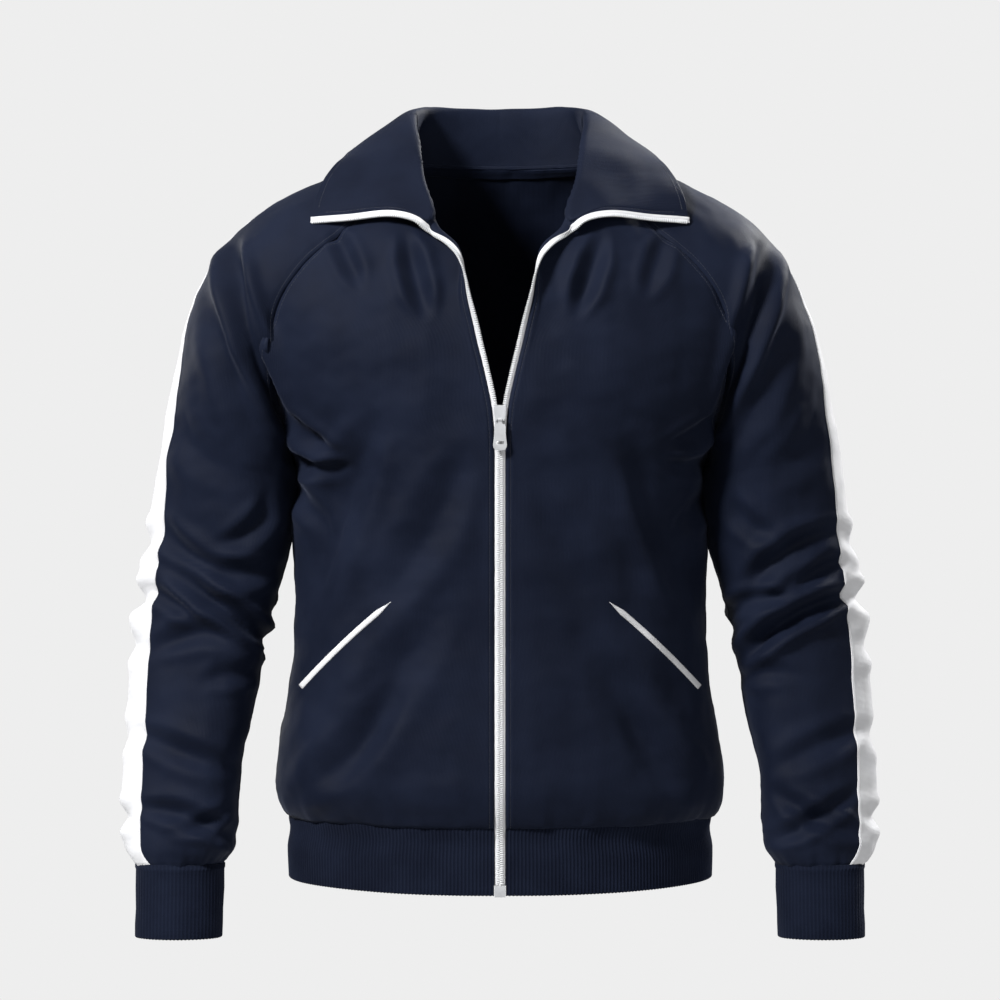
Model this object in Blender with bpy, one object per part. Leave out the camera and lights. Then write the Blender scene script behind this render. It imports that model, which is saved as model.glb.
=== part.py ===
"""Track jacket, filled out as if worn, in metres and +Z up.

The wearer faces -Y, and the wearer's left is +X. The origin is on the centre line, mid depth, at the
height of the shoulder beside the collar. Every panel is a loft through sections: the body through rows
from the waist seam to the neck, the sleeve through rows from the neck to the cuff, and the collar through
ribs along the neck seam. Panels that share a seam share the points on it.
"""

import math

import bmesh
import bpy
import numpy as np
from mathutils import Matrix, Vector
from mathutils.bvhtree import BVHTree

# Driving sizes
CLOTH = 0.0018           # thickness of the body cloth
RIB_CLOTH = 0.0026       # thickness of the ribbed waistband and cuffs
SEAM_GAP = 0.0003        # clear distance between two pieces at a seam
TAPE_WIDTH = 0.005       # zip tape and teeth that show on each side of the centre
TAPE_THICK = 0.0016
BAND_WIDTH = 0.070       # white band down each sleeve
BAND_THICK = 0.0010
BAND_INSET = 0.0010      # the band's ends and edges stop this far inside the sleeve's columns
WELT_WIDTH = 0.0052      # white pocket welt
WELT_THICK = 0.0012
WELT_LIFT = 0.0008       # the welt's clear height over the flat facets of the front
WELT_TOP = (0.0980, -0.3965)    # x and z of the welt's pointed inner end
WELT_FOOT = (0.1825, -0.4760)   # x and z of its blunt outer end
WELT_BOW = 0.0030        # how far its middle rises over a straight line
WELT_POINT = 0.14        # share of its length that narrows to the point
NECK_TAPE_WIDTH = 0.010  # from the neck seam to the tape's lower edge
NECK_TAPE_TOP = 0.0015   # from the neck seam to the tape's upper edge
NECK_TAPE_THICK = 0.0010
NECK_TAPE_DROP = 0.0007  # clear distance between the tape and the inside of the back
HEM_HEIGHT = -0.660      # bottom edge of the waistband
WAIST_SEAM = -0.600
CUFF_SEAM_ROW = 9        # row of the arm table where the sleeve meets the cuff
ROLL_RADIUS = 0.0030     # inner radius of the folded front edge
FULL_STAND = 0.030       # a collar stand of this height or more rolls fully
CREST = 0.010            # how far a full roll is rounded on each side
FALL_CROWN = 0.005       # how far the fall of the collar is arched over the shoulder
NECK_ROW = 8             # row of the raglan tables at the neck; row 0 is the armpit
SEAM_FILL = 0.74         # what a sleeve narrowed at its crown gains beside its seam
HALF_OVAL = 4 / 3        # handle of a cubic half oval, as a share of its depth

# The zip's foot, slider and pull tab
ZIP_BOX = (0.0098, 0.0032, 0.0100)      # width, depth and height
ZIP_BOX_FOOT = -0.6610
TAPE_FOOT = -0.6506      # lower end of the tapes, just over the zip box
ZIP_FACE = -0.1448       # front of the tapes at the slider
SLIDER_FOOT = -0.2400
SLIDER_PLATE = 0.0014    # thickness of the slider's front and back plates
SLIDER_CLEAR = 0.0006    # clear distance between a plate and the tapes
SLIDER_POST = (0.0030, 0.0046)          # width and height of the post between the plates
BAIL_POST = (0.0016, 0.0018)            # width and height of each post of the bail
BAIL_SPREAD = 0.0032     # from the centre to the middle of each post
PIVOT = (0.0, -0.1492, -0.2335)         # middle of the crossbar, on the tab's axis
CROSSBAR_RADIUS = 0.00075
EYE_RADIUS = 0.0017
EYE_BORE = 0.00115
EYE_WIDTH = 0.0042
TAB_THICK = 0.0015
SLOT = (0.0068, 0.0026)  # width and height of the slot near the tab's end
SLOT_DROP = 0.0205       # from the axis down to the slot's middle

# How finely each form is cut up
FRONT_COLUMNS = 8
FLAP_SHARES = (1.0, 0.55, 0.20)         # columns between the zip tape and the folding line
BACK_COLUMNS = 12
SLEEVE_COLUMNS = 12
BODY_ROWS = 11
BLOUSE_EASE = 0.35       # 0 spaces the body's rows evenly, 1 crowds them over the waistband
RAGLAN_ROWS = 10
ARM_ROWS = 20
COLLAR_ROWS = 7
RIB_ROWS = 2
CUFF_ROWS = 3
WELT_STEPS = 12
FINE = 121               # points that measure a curve's length
ROUND_SIDES = 24


def table(columns, *rows):
    """A table as a dictionary of its named columns."""
    return dict(zip(columns.split(), np.array(rows, float).T))


# The body below the armpits, from the hem up. dip is how far its sides rise over its middle.
BODY = table(
    "height half_width front back square dip",
    (-0.660, 0.1965, 0.128, 0.121, 0.60, 0.006),
    (-0.630, 0.1975, 0.127, 0.120, 0.60, 0.004),
    (-0.602, 0.1965, 0.128, 0.121, 0.60, 0.002),
    (-0.592, 0.2030, 0.134, 0.127, 0.61, 0.001),
    (-0.572, 0.2090, 0.141, 0.134, 0.62, 0),
    (-0.545, 0.2070, 0.142, 0.133, 0.62, 0),
    (-0.500, 0.1990, 0.140, 0.127, 0.62, 0),
    (-0.450, 0.1925, 0.138, 0.120, 0.61, 0),
    (-0.400, 0.1895, 0.138, 0.117, 0.60, 0),
    (-0.350, 0.1890, 0.140, 0.120, 0.59, 0),
    (-0.285, 0.1860, 0.142, 0.126, 0.61, 0),
)

# From the armpit to the neck: where the front edge folds, how far it has turned back, and the
# width of cloth beyond the fold
FRONT_EDGE = table(
    "fold_x fold_y fold_z turned beyond reach",
    (0.0140, -0.1420, -0.285, 0, 0.0140, 0.104),
    (0.0140, -0.1440, -0.252, 0, 0.0140, 0.106),
    (0.0165, -0.1445, -0.221, 0, 0.0140, 0.106),
    (0.0235, -0.1430, -0.188, 0, 0.0140, 0.100),
    (0.0320, -0.1395, -0.155, 8, 0.0145, 0.088),
    (0.0385, -0.1340, -0.122, 42, 0.0150, 0.072),
    (0.0385, -0.1245, -0.094, 98, 0.0170, 0.052),
    (0.0480, -0.1130, -0.070, 150, 0.0210, 0.032),
    (0.0610, -0.0980, -0.043, 176, 0.0260, 0.016),
)

# The same rows: the raglan seams and the crown of the sleeve between them. A swing turns the
# handle of a row from straight forwards, at 0, towards the body or the crown, at 90.
RAGLAN_FRONT = table(
    "x y z body_swing body_reach sleeve_swing sleeve_reach crown_reach",
    (0.1860, 0.000, -0.285, 0, 0.087, 0, 0.1061, 0.0698),
    (0.1965, -0.040, -0.247, 14, 0.052, 12, 0.070, 0.066),
    (0.2045, -0.070, -0.207, 32, 0.044, 32, 0.048, 0.062),
    (0.2075, -0.088, -0.166, 48, 0.043, 52, 0.038, 0.064),
    (0.2000, -0.097, -0.127, 60, 0.042, 72, 0.032, 0.074),
    (0.1770, -0.099, -0.092, 66, 0.038, 92, 0.032, 0.074),
    (0.1460, -0.092, -0.065, 66, 0.028, 110, 0.030, 0.062),
    (0.1160, -0.078, -0.041, 60, 0.018, 124, 0.026, 0.048),
    (0.0900, -0.062, -0.018, 50, 0.012, 134, 0.020, 0.036),
)
RAGLAN_BACK = table(
    "x y z body_swing body_reach sleeve_swing sleeve_reach crown_reach",
    (0.1860, 0.000, -0.285, 0, 0.075, 0, 0.1061, 0.0698),
    (0.1970, 0.043, -0.243, 16, 0.042, 12, 0.070, 0.066),
    (0.2060, 0.075, -0.202, 36, 0.038, 32, 0.048, 0.064),
    (0.2080, 0.097, -0.160, 54, 0.038, 52, 0.038, 0.070),
    (0.1930, 0.110, -0.118, 68, 0.041, 74, 0.032, 0.082),
    (0.1680, 0.112, -0.080, 78, 0.048, 94, 0.032, 0.082),
    (0.1400, 0.103, -0.045, 84, 0.042, 112, 0.030, 0.068),
    (0.1110, 0.085, -0.014, 86, 0.034, 124, 0.026, 0.050),
    (0.0840, 0.062, 0.010, 80, 0.024, 132, 0.020, 0.036),
)
# band is how far the band's front edge lies in front of the crown
CROWN = table(
    "x y z band",
    (0.3160, 0.000, -0.262, 0.036),
    (0.3095, 0.000, -0.228, 0.036),
    (0.3020, 0.000, -0.187, 0.034),
    (0.2885, 0.001, -0.138, 0.026),
    (0.2680, 0.003, -0.091, 0.014),
    (0.2290, 0.005, -0.043, 0.005),
    (0.1760, 0.006, -0.014, 0.003),
    (0.1280, 0.006, 0.006, 0.003),
    (0.0880, 0.004, 0.018, 0.003),
)
BACK_CENTRE = table(
    "y z reach",
    (0.126, -0.285, 0.110),
    (0.129, -0.245, 0.108),
    (0.131, -0.205, 0.104),
    (0.131, -0.165, 0.098),
    (0.128, -0.125, 0.090),
    (0.122, -0.088, 0.080),
    (0.112, -0.053, 0.068),
    (0.098, -0.021, 0.054),
    (0.080, 0.009, 0.040),
)

# The sleeve below the armpit, down to the end of the cuff
ARM = table(
    "outer_x outer_z inner_x inner_z y depth_front depth_back crown_share",
    (0.3160, -0.262, 0.1860, -0.285, 0.000, 0.0680, 0.0680, 0.77),
    (0.3225, -0.308, 0.1915, -0.325, 0.001, 0.0640, 0.0640, 0.66),
    (0.3305, -0.358, 0.2005, -0.368, 0.001, 0.0600, 0.0605, 0.56),
    (0.3375, -0.408, 0.2110, -0.410, -0.002, 0.0570, 0.0580, 0.50),
    (0.3425, -0.455, 0.2195, -0.455, -0.008, 0.0530, 0.0540, 0.50),
    (0.3445, -0.503, 0.2285, -0.501, -0.016, 0.0510, 0.0520, 0.50),
    (0.3460, -0.550, 0.2385, -0.548, -0.025, 0.0490, 0.0500, 0.50),
    (0.3465, -0.594, 0.2410, -0.592, -0.034, 0.0475, 0.0480, 0.52),
    (0.3445, -0.623, 0.2430, -0.622, -0.040, 0.0455, 0.0460, 0.62),
    (0.3325, -0.640, 0.2550, -0.640, -0.044, 0.0350, 0.0350, 1.00),
    (0.3310, -0.646, 0.2562, -0.646, -0.0455, 0.0335, 0.0335, 1.00),
    (0.3305, -0.680, 0.2565, -0.680, -0.053, 0.0330, 0.0330, 1.00),
    (0.3305, -0.704, 0.2565, -0.704, -0.058, 0.0330, 0.0330, 1.00),
)

# The collar, from the centre of the back to the zip. place counts along the neck seam: 0 at the centre
# of the back, 1 and 2 at the raglan seams, 3 where the collar has rolled to its seam, 4 at the zip.
COLLAR = table(
    "place roll_x roll_y roll_z edge_x edge_y edge_z",
    (0.0, 0.0000, 0.0830, 0.0655, 0.0000, 0.1060, 0.0145),
    (0.5, 0.0420, 0.0770, 0.0660, 0.0480, 0.1020, 0.0150),
    (1.0, 0.0720, 0.0560, 0.0640, 0.0910, 0.0810, 0.0230),
    (1.5, 0.0820, 0.0040, 0.0525, 0.1320, 0.0170, 0.0215),
    (2.0, 0.0770, -0.0500, 0.0190, 0.1470, -0.0330, 0.0060),
    (2.5, 0.0710, -0.0800, -0.0130, 0.1590, -0.0540, -0.0100),
    (3.0, 0.0600, -0.1050, -0.0430, 0.1655, -0.0700, -0.0260),
    (4.0, 0.0700, -0.1140, -0.0550, 0.1710, -0.0830, -0.0500),
)

# The deepest folds of the sleeve. along is the distance below the armpit row, and rise is how far
# a fold climbs from there to the outer line and sinks to the inner one.
ELBOW_FOLDS = table(
    "along rise depth width",
    (0.088, 0.018, 0.0040, 0.016),
    (0.143, 0.024, 0.0065, 0.015),
    (0.178, 0.004, 0.0040, 0.013),
    (0.277, 0.010, 0.0035, 0.014),
    (0.345, 0.010, 0.0040, 0.012),
)

# The slider's plates and the pull tab, as half outlines from the foot up. A height is over the
# slider's foot for the plates, and under the axis for the tab.
PLATE_OUTLINE = table(
    "height half_width",
    (0.0000, 0.0030),
    (0.0010, 0.0041),
    (0.0070, 0.0046),
    (0.0130, 0.0054),
    (0.0170, 0.0055),
    (0.0188, 0.0048),
    (0.0195, 0.0032),
)
TAB_OUTLINE = table(
    "height half_width",
    (-0.0275, 0.0022),
    (-0.0268, 0.0044),
    (-0.0250, 0.0058),
    (-0.0225, 0.0062),
    (-0.0140, 0.0053),
    (-0.0060, 0.0050),
    (-0.0042, 0.0044),
    (-0.0034, 0.0019),
    (-0.0013, 0.0019),
)

NAVY = (0.012, 0.018, 0.040, 1)
NAVY_RIB = (0.010, 0.015, 0.034, 1)
WHITE = (0.86, 0.86, 0.86, 1)
SILVER = (0.78, 0.79, 0.80, 1)


def smooth(keys, values, at):
    """The cubic through the values at the keys, read at the given places."""
    values = np.asarray(values, float)
    slopes = np.gradient(values, keys, axis=0)
    left = np.clip(np.searchsorted(keys, at, side="right") - 1, 0, len(keys) - 2)
    width = keys[left + 1] - keys[left]
    u = (at - keys[left]) / width
    return (
        (1 + 2 * u) * (1 - u) ** 2 * values[left]
        + u * (1 - u) ** 2 * width * slopes[left]
        + u * u * (3 - 2 * u) * values[left + 1]
        + u * u * (u - 1) * width * slopes[left + 1]
    )


def read(rows, column, at):
    """A column of a table, read between its rows, which are numbered from 0."""
    values = rows[column]
    return float(smooth(np.arange(len(values), dtype=float), values, np.float64(at)))


def point_of(rows, at, columns="x y z"):
    return np.array([read(rows, column, at) for column in columns.split()])


def unit(vector):
    vector = np.asarray(vector, float)
    return vector / np.maximum(np.linalg.norm(vector, axis=-1, keepdims=True), 1e-12)


def bezier(curve, u):
    """Points of the cubic Bezier curve of four corners."""
    p0, p1, p2, p3 = curve
    u = np.asarray(u, float)[..., None]
    v = 1 - u
    return v**3 * p0 + 3 * v * v * u * p1 + 3 * v * u * u * p2 + u**3 * p3


def at_lengths(curve, lengths_of):
    """Points of the curve at the distances along it that lengths_of gives for its whole length."""
    fine = bezier(curve, np.linspace(0, 1, FINE))
    run = np.concatenate([[0], np.cumsum(np.linalg.norm(np.diff(fine, axis=0), axis=1))])
    wanted = lengths_of(run[-1])
    return bezier(curve, np.interp(wanted, run, np.linspace(0, 1, FINE)))


# ---- the body ---------------------------------------------------------------------------------


def lower_row(height):
    """The front and back quarter curves of the body at a height below the armpit."""
    half, front, back, square, dip = (
        float(smooth(BODY["height"], BODY[column], np.float64(height)))
        for column in ("half_width", "front", "back", "square", "dip")
    )
    fold = np.array([FRONT_EDGE["beyond"][0], -front, height])
    side = np.array([half, 0.0, height + dip])
    centre = np.array([0.0, back, height])
    across = np.array([1.0, 0.0, 0.0])
    depth = np.array([0.0, 1.0, 0.0])
    forwards = (
        fold,
        fold + square * (half - fold[0]) * across,
        side - square * front * depth,
        side,
    )
    backwards = (
        side,
        side + square * back * depth,
        centre + square * half * across,
        centre,
    )
    return forwards, backwards


def upper_front(row):
    """The curve of the front at a raglan row, from its folding line to the seam."""
    fold = point_of(FRONT_EDGE, row, "fold_x fold_y fold_z")
    fold[0] = max(fold[0], read(FRONT_EDGE, "beyond", row))
    seam = point_of(RAGLAN_FRONT, row)
    swing = math.radians(read(RAGLAN_FRONT, "body_swing", row))
    lean = unit(seam - fold)
    share = min(1.0, max(0.0, (row - 4) / 4))
    away = unit((1 - share) * np.array([1.0, 0, 0]) + share * lean)
    inwards = math.cos(swing) * np.array([0, -1.0, 0]) - math.sin(swing) * lean
    return (
        fold,
        fold + read(FRONT_EDGE, "reach", row) * away,
        seam + read(RAGLAN_FRONT, "body_reach", row) * inwards,
        seam,
    )


def upper_back(row):
    """The curve of the back at a raglan row, from the seam to the centre of the back."""
    seam = point_of(RAGLAN_BACK, row)
    centre = np.array([0.0, read(BACK_CENTRE, "y", row), read(BACK_CENTRE, "z", row)])
    swing = math.radians(read(RAGLAN_BACK, "body_swing", row))
    inwards = unit((centre - seam) * [1, 0, 1])
    handle = math.cos(swing) * np.array([0, 1.0, 0]) + math.sin(swing) * inwards
    return (
        seam,
        seam + read(RAGLAN_BACK, "body_reach", row) * handle,
        centre + [read(BACK_CENTRE, "reach", row), 0, 0],
        centre,
    )


def row_curves(level):
    """Front and back curves at a level: a height below the armpit, or 1 + a raglan row."""
    if level < 0:
        return lower_row(level)
    return upper_front(level - 1), upper_back(level - 1)


def fold_row(level):
    """The row of the front edge table that a level reads."""
    return max(0.0, level - 1)


def fold_axis(level):
    """The direction of the folding line, upwards."""
    if level <= 1:
        return np.array([0, 0, 1.0])
    row, step = fold_row(level), 0.02
    columns = "fold_x fold_y fold_z"
    above = point_of(FRONT_EDGE, min(NECK_ROW, row + step), columns)
    return unit(above - point_of(FRONT_EDGE, row - step, columns))


def turned_edge(level, curve, distances):
    """Points beyond the folding line of the front, which turns back towards the neck."""
    angle = math.radians(max(0.0, read(FRONT_EDGE, "turned", fold_row(level))))
    axis = fold_axis(level)
    start = curve[0]
    inwards = -unit(bezier(curve, 0.02) - start)
    along = float(inwards @ axis) * axis
    size = float(np.linalg.norm(inwards - along))
    across = (inwards - along) / size
    lift = np.cross(axis, across)
    points = []
    for distance in distances:
        turn = min(angle, distance * size / ROLL_RADIUS)
        rest = distance * size - ROLL_RADIUS * turn
        offset = ROLL_RADIUS * (across * math.sin(turn) + lift * (1 - math.cos(turn)))
        offset = offset + rest * (across * math.cos(turn) + lift * math.sin(turn))
        points.append(start + offset + along * distance)
    return np.array(points)


def beyond_fold(level):
    return read(FRONT_EDGE, "beyond", fold_row(level))


def waistband_levels():
    return np.linspace(HEM_HEIGHT, WAIST_SEAM, RIB_ROWS + 1)


def body_levels():
    """The levels of the body's rows, from the waist seam to the neck, closer over the waistband."""
    share = np.linspace(0, 1, BODY_ROWS + 1)[:-1]
    eased = BLOUSE_EASE * share**2 + (1 - BLOUSE_EASE) * share
    lower = WAIST_SEAM + (BODY["height"][-1] - WAIST_SEAM) * eased
    return np.concatenate([lower, 1 + np.linspace(0, NECK_ROW, RAGLAN_ROWS + 1)])


def front_row(level):
    """One row of the front, from the edge of the zip tape to the side or raglan seam."""
    curve = row_curves(level)[0]
    edge = beyond_fold(level) - TAPE_WIDTH - SEAM_GAP
    flap = turned_edge(level, curve, edge * np.array(FLAP_SHARES))
    return np.concatenate(
        [flap, bezier(curve, np.linspace(0, 1, FRONT_COLUMNS - len(FLAP_SHARES) + 1))]
    )


def back_row(level):
    half = bezier(row_curves(level)[1], np.linspace(0, 1, BACK_COLUMNS // 2 + 1))
    return np.concatenate([half, mirrored(half[-2::-1])])


# ---- the sleeve -------------------------------------------------------------------------------


def half_arc(crown, seam, side, swing, seam_reach, crown_reach):
    """From the crown of the sleeve to a seam. side is -1 for the front and 1 for the back."""
    outwards = unit((crown - seam) * [1, 0, 1])
    forwards = np.array([0.0, side, 0.0])
    handle = math.cos(swing) * forwards + math.sin(swing) * outwards
    return crown, crown + crown_reach * forwards, seam + seam_reach * handle, seam


def arc_points(curve, band):
    """Points from the crown to the seam, with one on the band's edge."""
    rest = SLEEVE_COLUMNS // 2 - 1
    return at_lengths(
        curve, lambda whole: np.append(0.0, band + (whole - band) * np.arange(rest + 1) / rest)
    )


def sleeve_row(crown, seams, handles, band):
    """A row of the sleeve, from its front seam over the crown to its back seam."""
    front = arc_points(half_arc(crown, seams[0], -1, *handles[0]), band)
    back = arc_points(half_arc(crown, seams[1], 1, *handles[1]), BAND_WIDTH - band)
    return np.concatenate([front[::-1], back[1:]])


def raglan_sleeve_row(row):
    seams = (RAGLAN_FRONT, RAGLAN_BACK)
    handles = [
        (
            math.radians(read(seam, "sleeve_swing", row)),
            read(seam, "sleeve_reach", row),
            read(seam, "crown_reach", row),
        )
        for seam in seams
    ]
    ends = [point_of(seam, row) for seam in seams]
    return sleeve_row(point_of(CROWN, row), ends, handles, read(CROWN, "band", row))


def arm_row(row):
    """A closed ring of the sleeve or the cuff, from the underarm seam round the front to it again."""
    outer = point_of(ARM, row, "outer_x y outer_z")
    inner = point_of(ARM, row, "inner_x y inner_z")
    reaches = [HALF_OVAL * read(ARM, side, row) for side in ("depth_front", "depth_back")]
    share = read(ARM, "crown_share", row)
    handles = [(0.0, (1 + SEAM_FILL * (1 - share)) * reach, share * reach) for reach in reaches]
    return sleeve_row(outer, (inner, inner), handles, BAND_WIDTH / 2)


def fold_depth(along, turn):
    """How far the elbow folds draw the cloth in, at a distance down the arm and a turn round it."""
    middle = ELBOW_FOLDS["along"] - ELBOW_FOLDS["rise"] * np.cos(turn)
    spread = (along - middle) / ELBOW_FOLDS["width"]
    inner_side = 0.35 + 0.65 * abs(math.sin(turn / 2))
    return float((ELBOW_FOLDS["depth"] * inner_side * np.exp(-spread * spread)).sum())


def folded(ring, along):
    """The ring with the elbow folds pressed in towards its middle."""
    middle = ring.mean(axis=0)
    turns = 2 * math.pi * (np.arange(len(ring)) / (len(ring) - 1) - 0.5)
    inwards = unit((middle - ring) * [1, 1, 0])
    depths = np.array([fold_depth(along, turn) for turn in turns])
    return ring + inwards * depths[:, None]


def sleeve_grid():
    """The sleeve's rows, from the neck to the cuff."""
    upper = [raglan_sleeve_row(row) for row in np.linspace(NECK_ROW, 0, RAGLAN_ROWS + 1)]
    lower = []
    for row in np.linspace(0, CUFF_SEAM_ROW, ARM_ROWS + 1)[1:]:
        along = ARM["outer_z"][0] - read(ARM, "outer_z", row)
        lower.append(folded(arm_row(row), along))
    return np.array(upper + lower)


def cuff_grid():
    last = len(ARM["y"]) - 1
    along = ARM["outer_z"][0] - ARM["outer_z"][CUFF_SEAM_ROW]
    rows = [arm_row(row) for row in np.linspace(CUFF_SEAM_ROW, last, CUFF_ROWS + 1)]
    rows[0] = folded(rows[0], along)
    return np.array(rows)


# ---- the collar -------------------------------------------------------------------------------


def neck_line(back, sleeve, front):
    """The neck seam from the centre of the back to the zip, with each point's place in COLLAR."""
    flap = len(FLAP_SHARES)
    plain = FRONT_COLUMNS - flap
    places = np.concatenate(
        [
            np.linspace(0, 1, BACK_COLUMNS // 2 + 1),
            np.linspace(1, 2, SLEEVE_COLUMNS + 1)[1:],
            np.linspace(2, 3, plain + 1)[1:],
            np.linspace(3, 4, flap + 1)[1:],
        ]
    )
    middle = BACK_COLUMNS // 2
    points = np.concatenate([back[-1][middle::-1], sleeve[0][-2::-1], front[-1][-2::-1]])
    return points, places


def collar_rib(neck, place):
    """One rib of the collar, from the neck seam over the roll to the outer edge."""
    roll, edge = (
        np.array([float(smooth(COLLAR["place"], COLLAR[f"{part}_{c}"], place)) for c in "xyz"])
        for part in ("roll", "edge")
    )
    stand = float(np.linalg.norm(roll - neck))
    fall = edge - roll
    standing = min(1.0, stand / FULL_STAND)
    outwards = unit(fall * [1, 1, 0])
    crest = CREST * standing * outwards
    up = np.array([0.0, 0.0, 0.4 * stand * standing])
    rise = (neck, neck + up, roll - crest - 0.3 * (1 - standing) * (roll - neck), roll)
    drop = (
        roll,
        roll + crest + 0.12 * float(np.linalg.norm(fall)) * outwards,
        edge - 0.35 * fall + [0, 0, FALL_CROWN],
        edge,
    )
    split = max(0.10, 0.46 * standing)
    shares = np.linspace(0, 1, COLLAR_ROWS + 1)
    return np.array(
        [
            bezier(rise, share / split) if share < split
            else bezier(drop, (share - split) / (1 - split))
            for share in shares
        ]
    )


def collar_half(back, sleeve, front):
    neck, places = neck_line(back, sleeve, front)
    return np.array([collar_rib(point, place) for point, place in zip(neck, places)])


# ---- walls from surfaces ----------------------------------------------------------------------


def mirrored(points):
    return points * np.array([-1.0, 1.0, 1.0])


class Panel:
    """A grid of points on the outside of a cut piece, with faces that look outwards.

    From row closed_from on, the last column is the first one, as where a sleeve closes to a tube.
    """

    def __init__(self, grid, flipped=False, closed_from=None):
        self.rows, self.columns = grid.shape[:2]
        self.points = grid.reshape(-1, 3)
        self.flipped = flipped
        self.closed_from = closed_from
        self.faces = self.make_faces()
        self.normals = self.own_normals()

    def corner(self, row, column):
        wraps = self.closed_from is not None and row >= self.closed_from
        return row * self.columns + (0 if wraps and column == self.columns - 1 else column)

    def make_faces(self):
        faces = []
        for j in range(self.rows - 1):
            for i in range(self.columns - 1):
                ring = [
                    self.corner(j, i),
                    self.corner(j, i + 1),
                    self.corner(j + 1, i + 1),
                    self.corner(j + 1, i),
                ]
                faces.append(tuple(ring[::-1] if self.flipped else ring))
        return faces

    def own_normals(self):
        normals = np.zeros_like(self.points)
        for face in self.faces:
            p = self.points[list(face)]
            normals[list(face)] += unit(np.cross(p[2] - p[0], p[3] - p[1]))
        return normals

    def grids(self):
        """The points and the normals as rows of columns."""
        shape = (self.rows, self.columns, 3)
        return self.points.reshape(shape), self.normals.reshape(shape)

    def mirror(self):
        grid = mirrored(self.points).reshape(self.rows, self.columns, 3)
        other = Panel(grid, not self.flipped, self.closed_from)
        other.normals = mirrored(self.normals)
        return other

    def rim(self):
        """Directed edges that only one face has."""
        seen = {}
        for face in self.faces:
            for a, b in zip(face, face[1:] + face[:1]):
                if a != b and seen.pop((b, a), None) is None:
                    seen[(a, b)] = True
        return list(seen)

    def drawn_in(self, distance):
        """For each corner of the rim, the move that takes it this far into the surface."""
        on_rim = {v for edge in self.rim() for v in edge}
        inner = {v: set() for v in on_rim}
        for face in self.faces:
            for v in on_rim.intersection(face):
                at = face.index(v)
                beside = {face[at - 1], face[(at + 1) % 4]}
                inner[v] |= beside - on_rim
        moves = np.zeros_like(self.points)
        for v, others in inner.items():
            if not others:
                others = {w for face in self.faces if v in face for w in face} - {v}
            towards = self.points[list(others)].mean(axis=0) - self.points[v]
            moves[v] = distance * unit(towards)
        return moves


def share_normals(panels):
    """Gives panels that meet at a seam one normal at each point of it."""
    total = {}
    for panel in panels:
        for key, normal in zip(np.round(panel.points, 6), panel.normals):
            total[tuple(key)] = total.get(tuple(key), 0) + normal
    for panel in panels:
        panel.normals = unit(np.array([total[tuple(k)] for k in np.round(panel.points, 6)]))


def add_wall(name, panel, thickness, material, collection, lift=0.0, inset=SEAM_GAP / 2):
    """The closed wall under a panel, or over it where lift raises its underside."""
    top = lift + thickness if lift > 0 else lift
    moves = panel.drawn_in(inset)
    outer = panel.points + top * panel.normals + moves
    inner = panel.points + (top - thickness) * panel.normals + moves
    used = sorted({v for face in panel.faces for v in face})
    number = {v: i for i, v in enumerate(used)}
    mesh = bmesh.new()
    above = [mesh.verts.new(outer[v]) for v in used]
    below = [mesh.verts.new(inner[v]) for v in used]
    for face in panel.faces:
        ring = [number[v] for v in face]
        mesh.faces.new([above[i] for i in ring])
        mesh.faces.new([below[i] for i in reversed(ring)])
    for a, b in panel.rim():
        a, b = number[a], number[b]
        mesh.faces.new([above[b], above[a], below[a], below[b]])
    return add_mesh(name, mesh, material, collection)


def add_mesh(name, mesh, material, collection):
    bmesh.ops.triangulate(mesh, faces=mesh.faces[:])
    bmesh.ops.recalc_face_normals(mesh, faces=mesh.faces[:])
    data = bpy.data.meshes.new(name)
    mesh.to_mesh(data)
    mesh.free()
    obj = bpy.data.objects.new(name, data)
    data.materials.append(material)
    data.shade_smooth()
    data.set_sharp_from_angle(angle=math.radians(50))
    collection.objects.link(obj)
    return obj


# ---- the cut pieces ---------------------------------------------------------------------------


def cloth_panels():
    """Every piece of the body cloth and of the ribs, with normals shared at their seams."""
    front = np.array([front_row(level) for level in body_levels()])
    back = np.array([back_row(level) for level in body_levels()])
    sleeve = sleeve_grid()
    half = collar_half(back, sleeve, front)
    waistband = np.array(
        [
            np.concatenate([front_row(z), back_row(z)[1:-1], mirrored(front_row(z))[::-1]])
            for z in waistband_levels()
        ]
    )
    panels = {
        "front_left": Panel(front),
        "back": Panel(back),
        "sleeve_left": Panel(sleeve, flipped=True, closed_from=RAGLAN_ROWS),
        "collar": Panel(np.concatenate([half[:0:-1], mirrored(half)]), flipped=True),
        "waistband": Panel(waistband),
        "cuff_left": Panel(cuff_grid(), flipped=True, closed_from=0),
    }
    for name in ("front", "sleeve", "cuff"):
        panels[f"{name}_right"] = panels[f"{name}_left"].mirror()
    share_normals(panels.values())
    return panels


def tape_panel(panels):
    """The zip tape on the left: beside the waistband and the front, then on the collar's end."""
    rows = []
    for level in [TAPE_FOOT, *waistband_levels()[1:-1], *body_levels()]:
        beyond = beyond_fold(level)
        places = [beyond - SEAM_GAP / 2, beyond - TAPE_WIDTH]
        rows.append(turned_edge(level, row_curves(level)[0], places))
    collar, collar_normals = panels["collar"].grids()
    edge, beside = collar[0], collar[1]
    away = unit(edge - beside)
    for point, direction in zip(edge[1:], away[1:]):
        rows.append(
            np.array([point + (TAPE_WIDTH + SEAM_GAP) * direction, point + SEAM_GAP * direction])
        )
    sides = [panels["waistband"].grids()[1][:-1, 0], panels["front_left"].grids()[1][:, 0]]
    beside_tape = np.concatenate([*sides, collar_normals[0, 1:]])
    panel = Panel(np.array(rows))
    panel.normals = np.repeat(beside_tape, 2, axis=0)
    return panel


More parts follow.
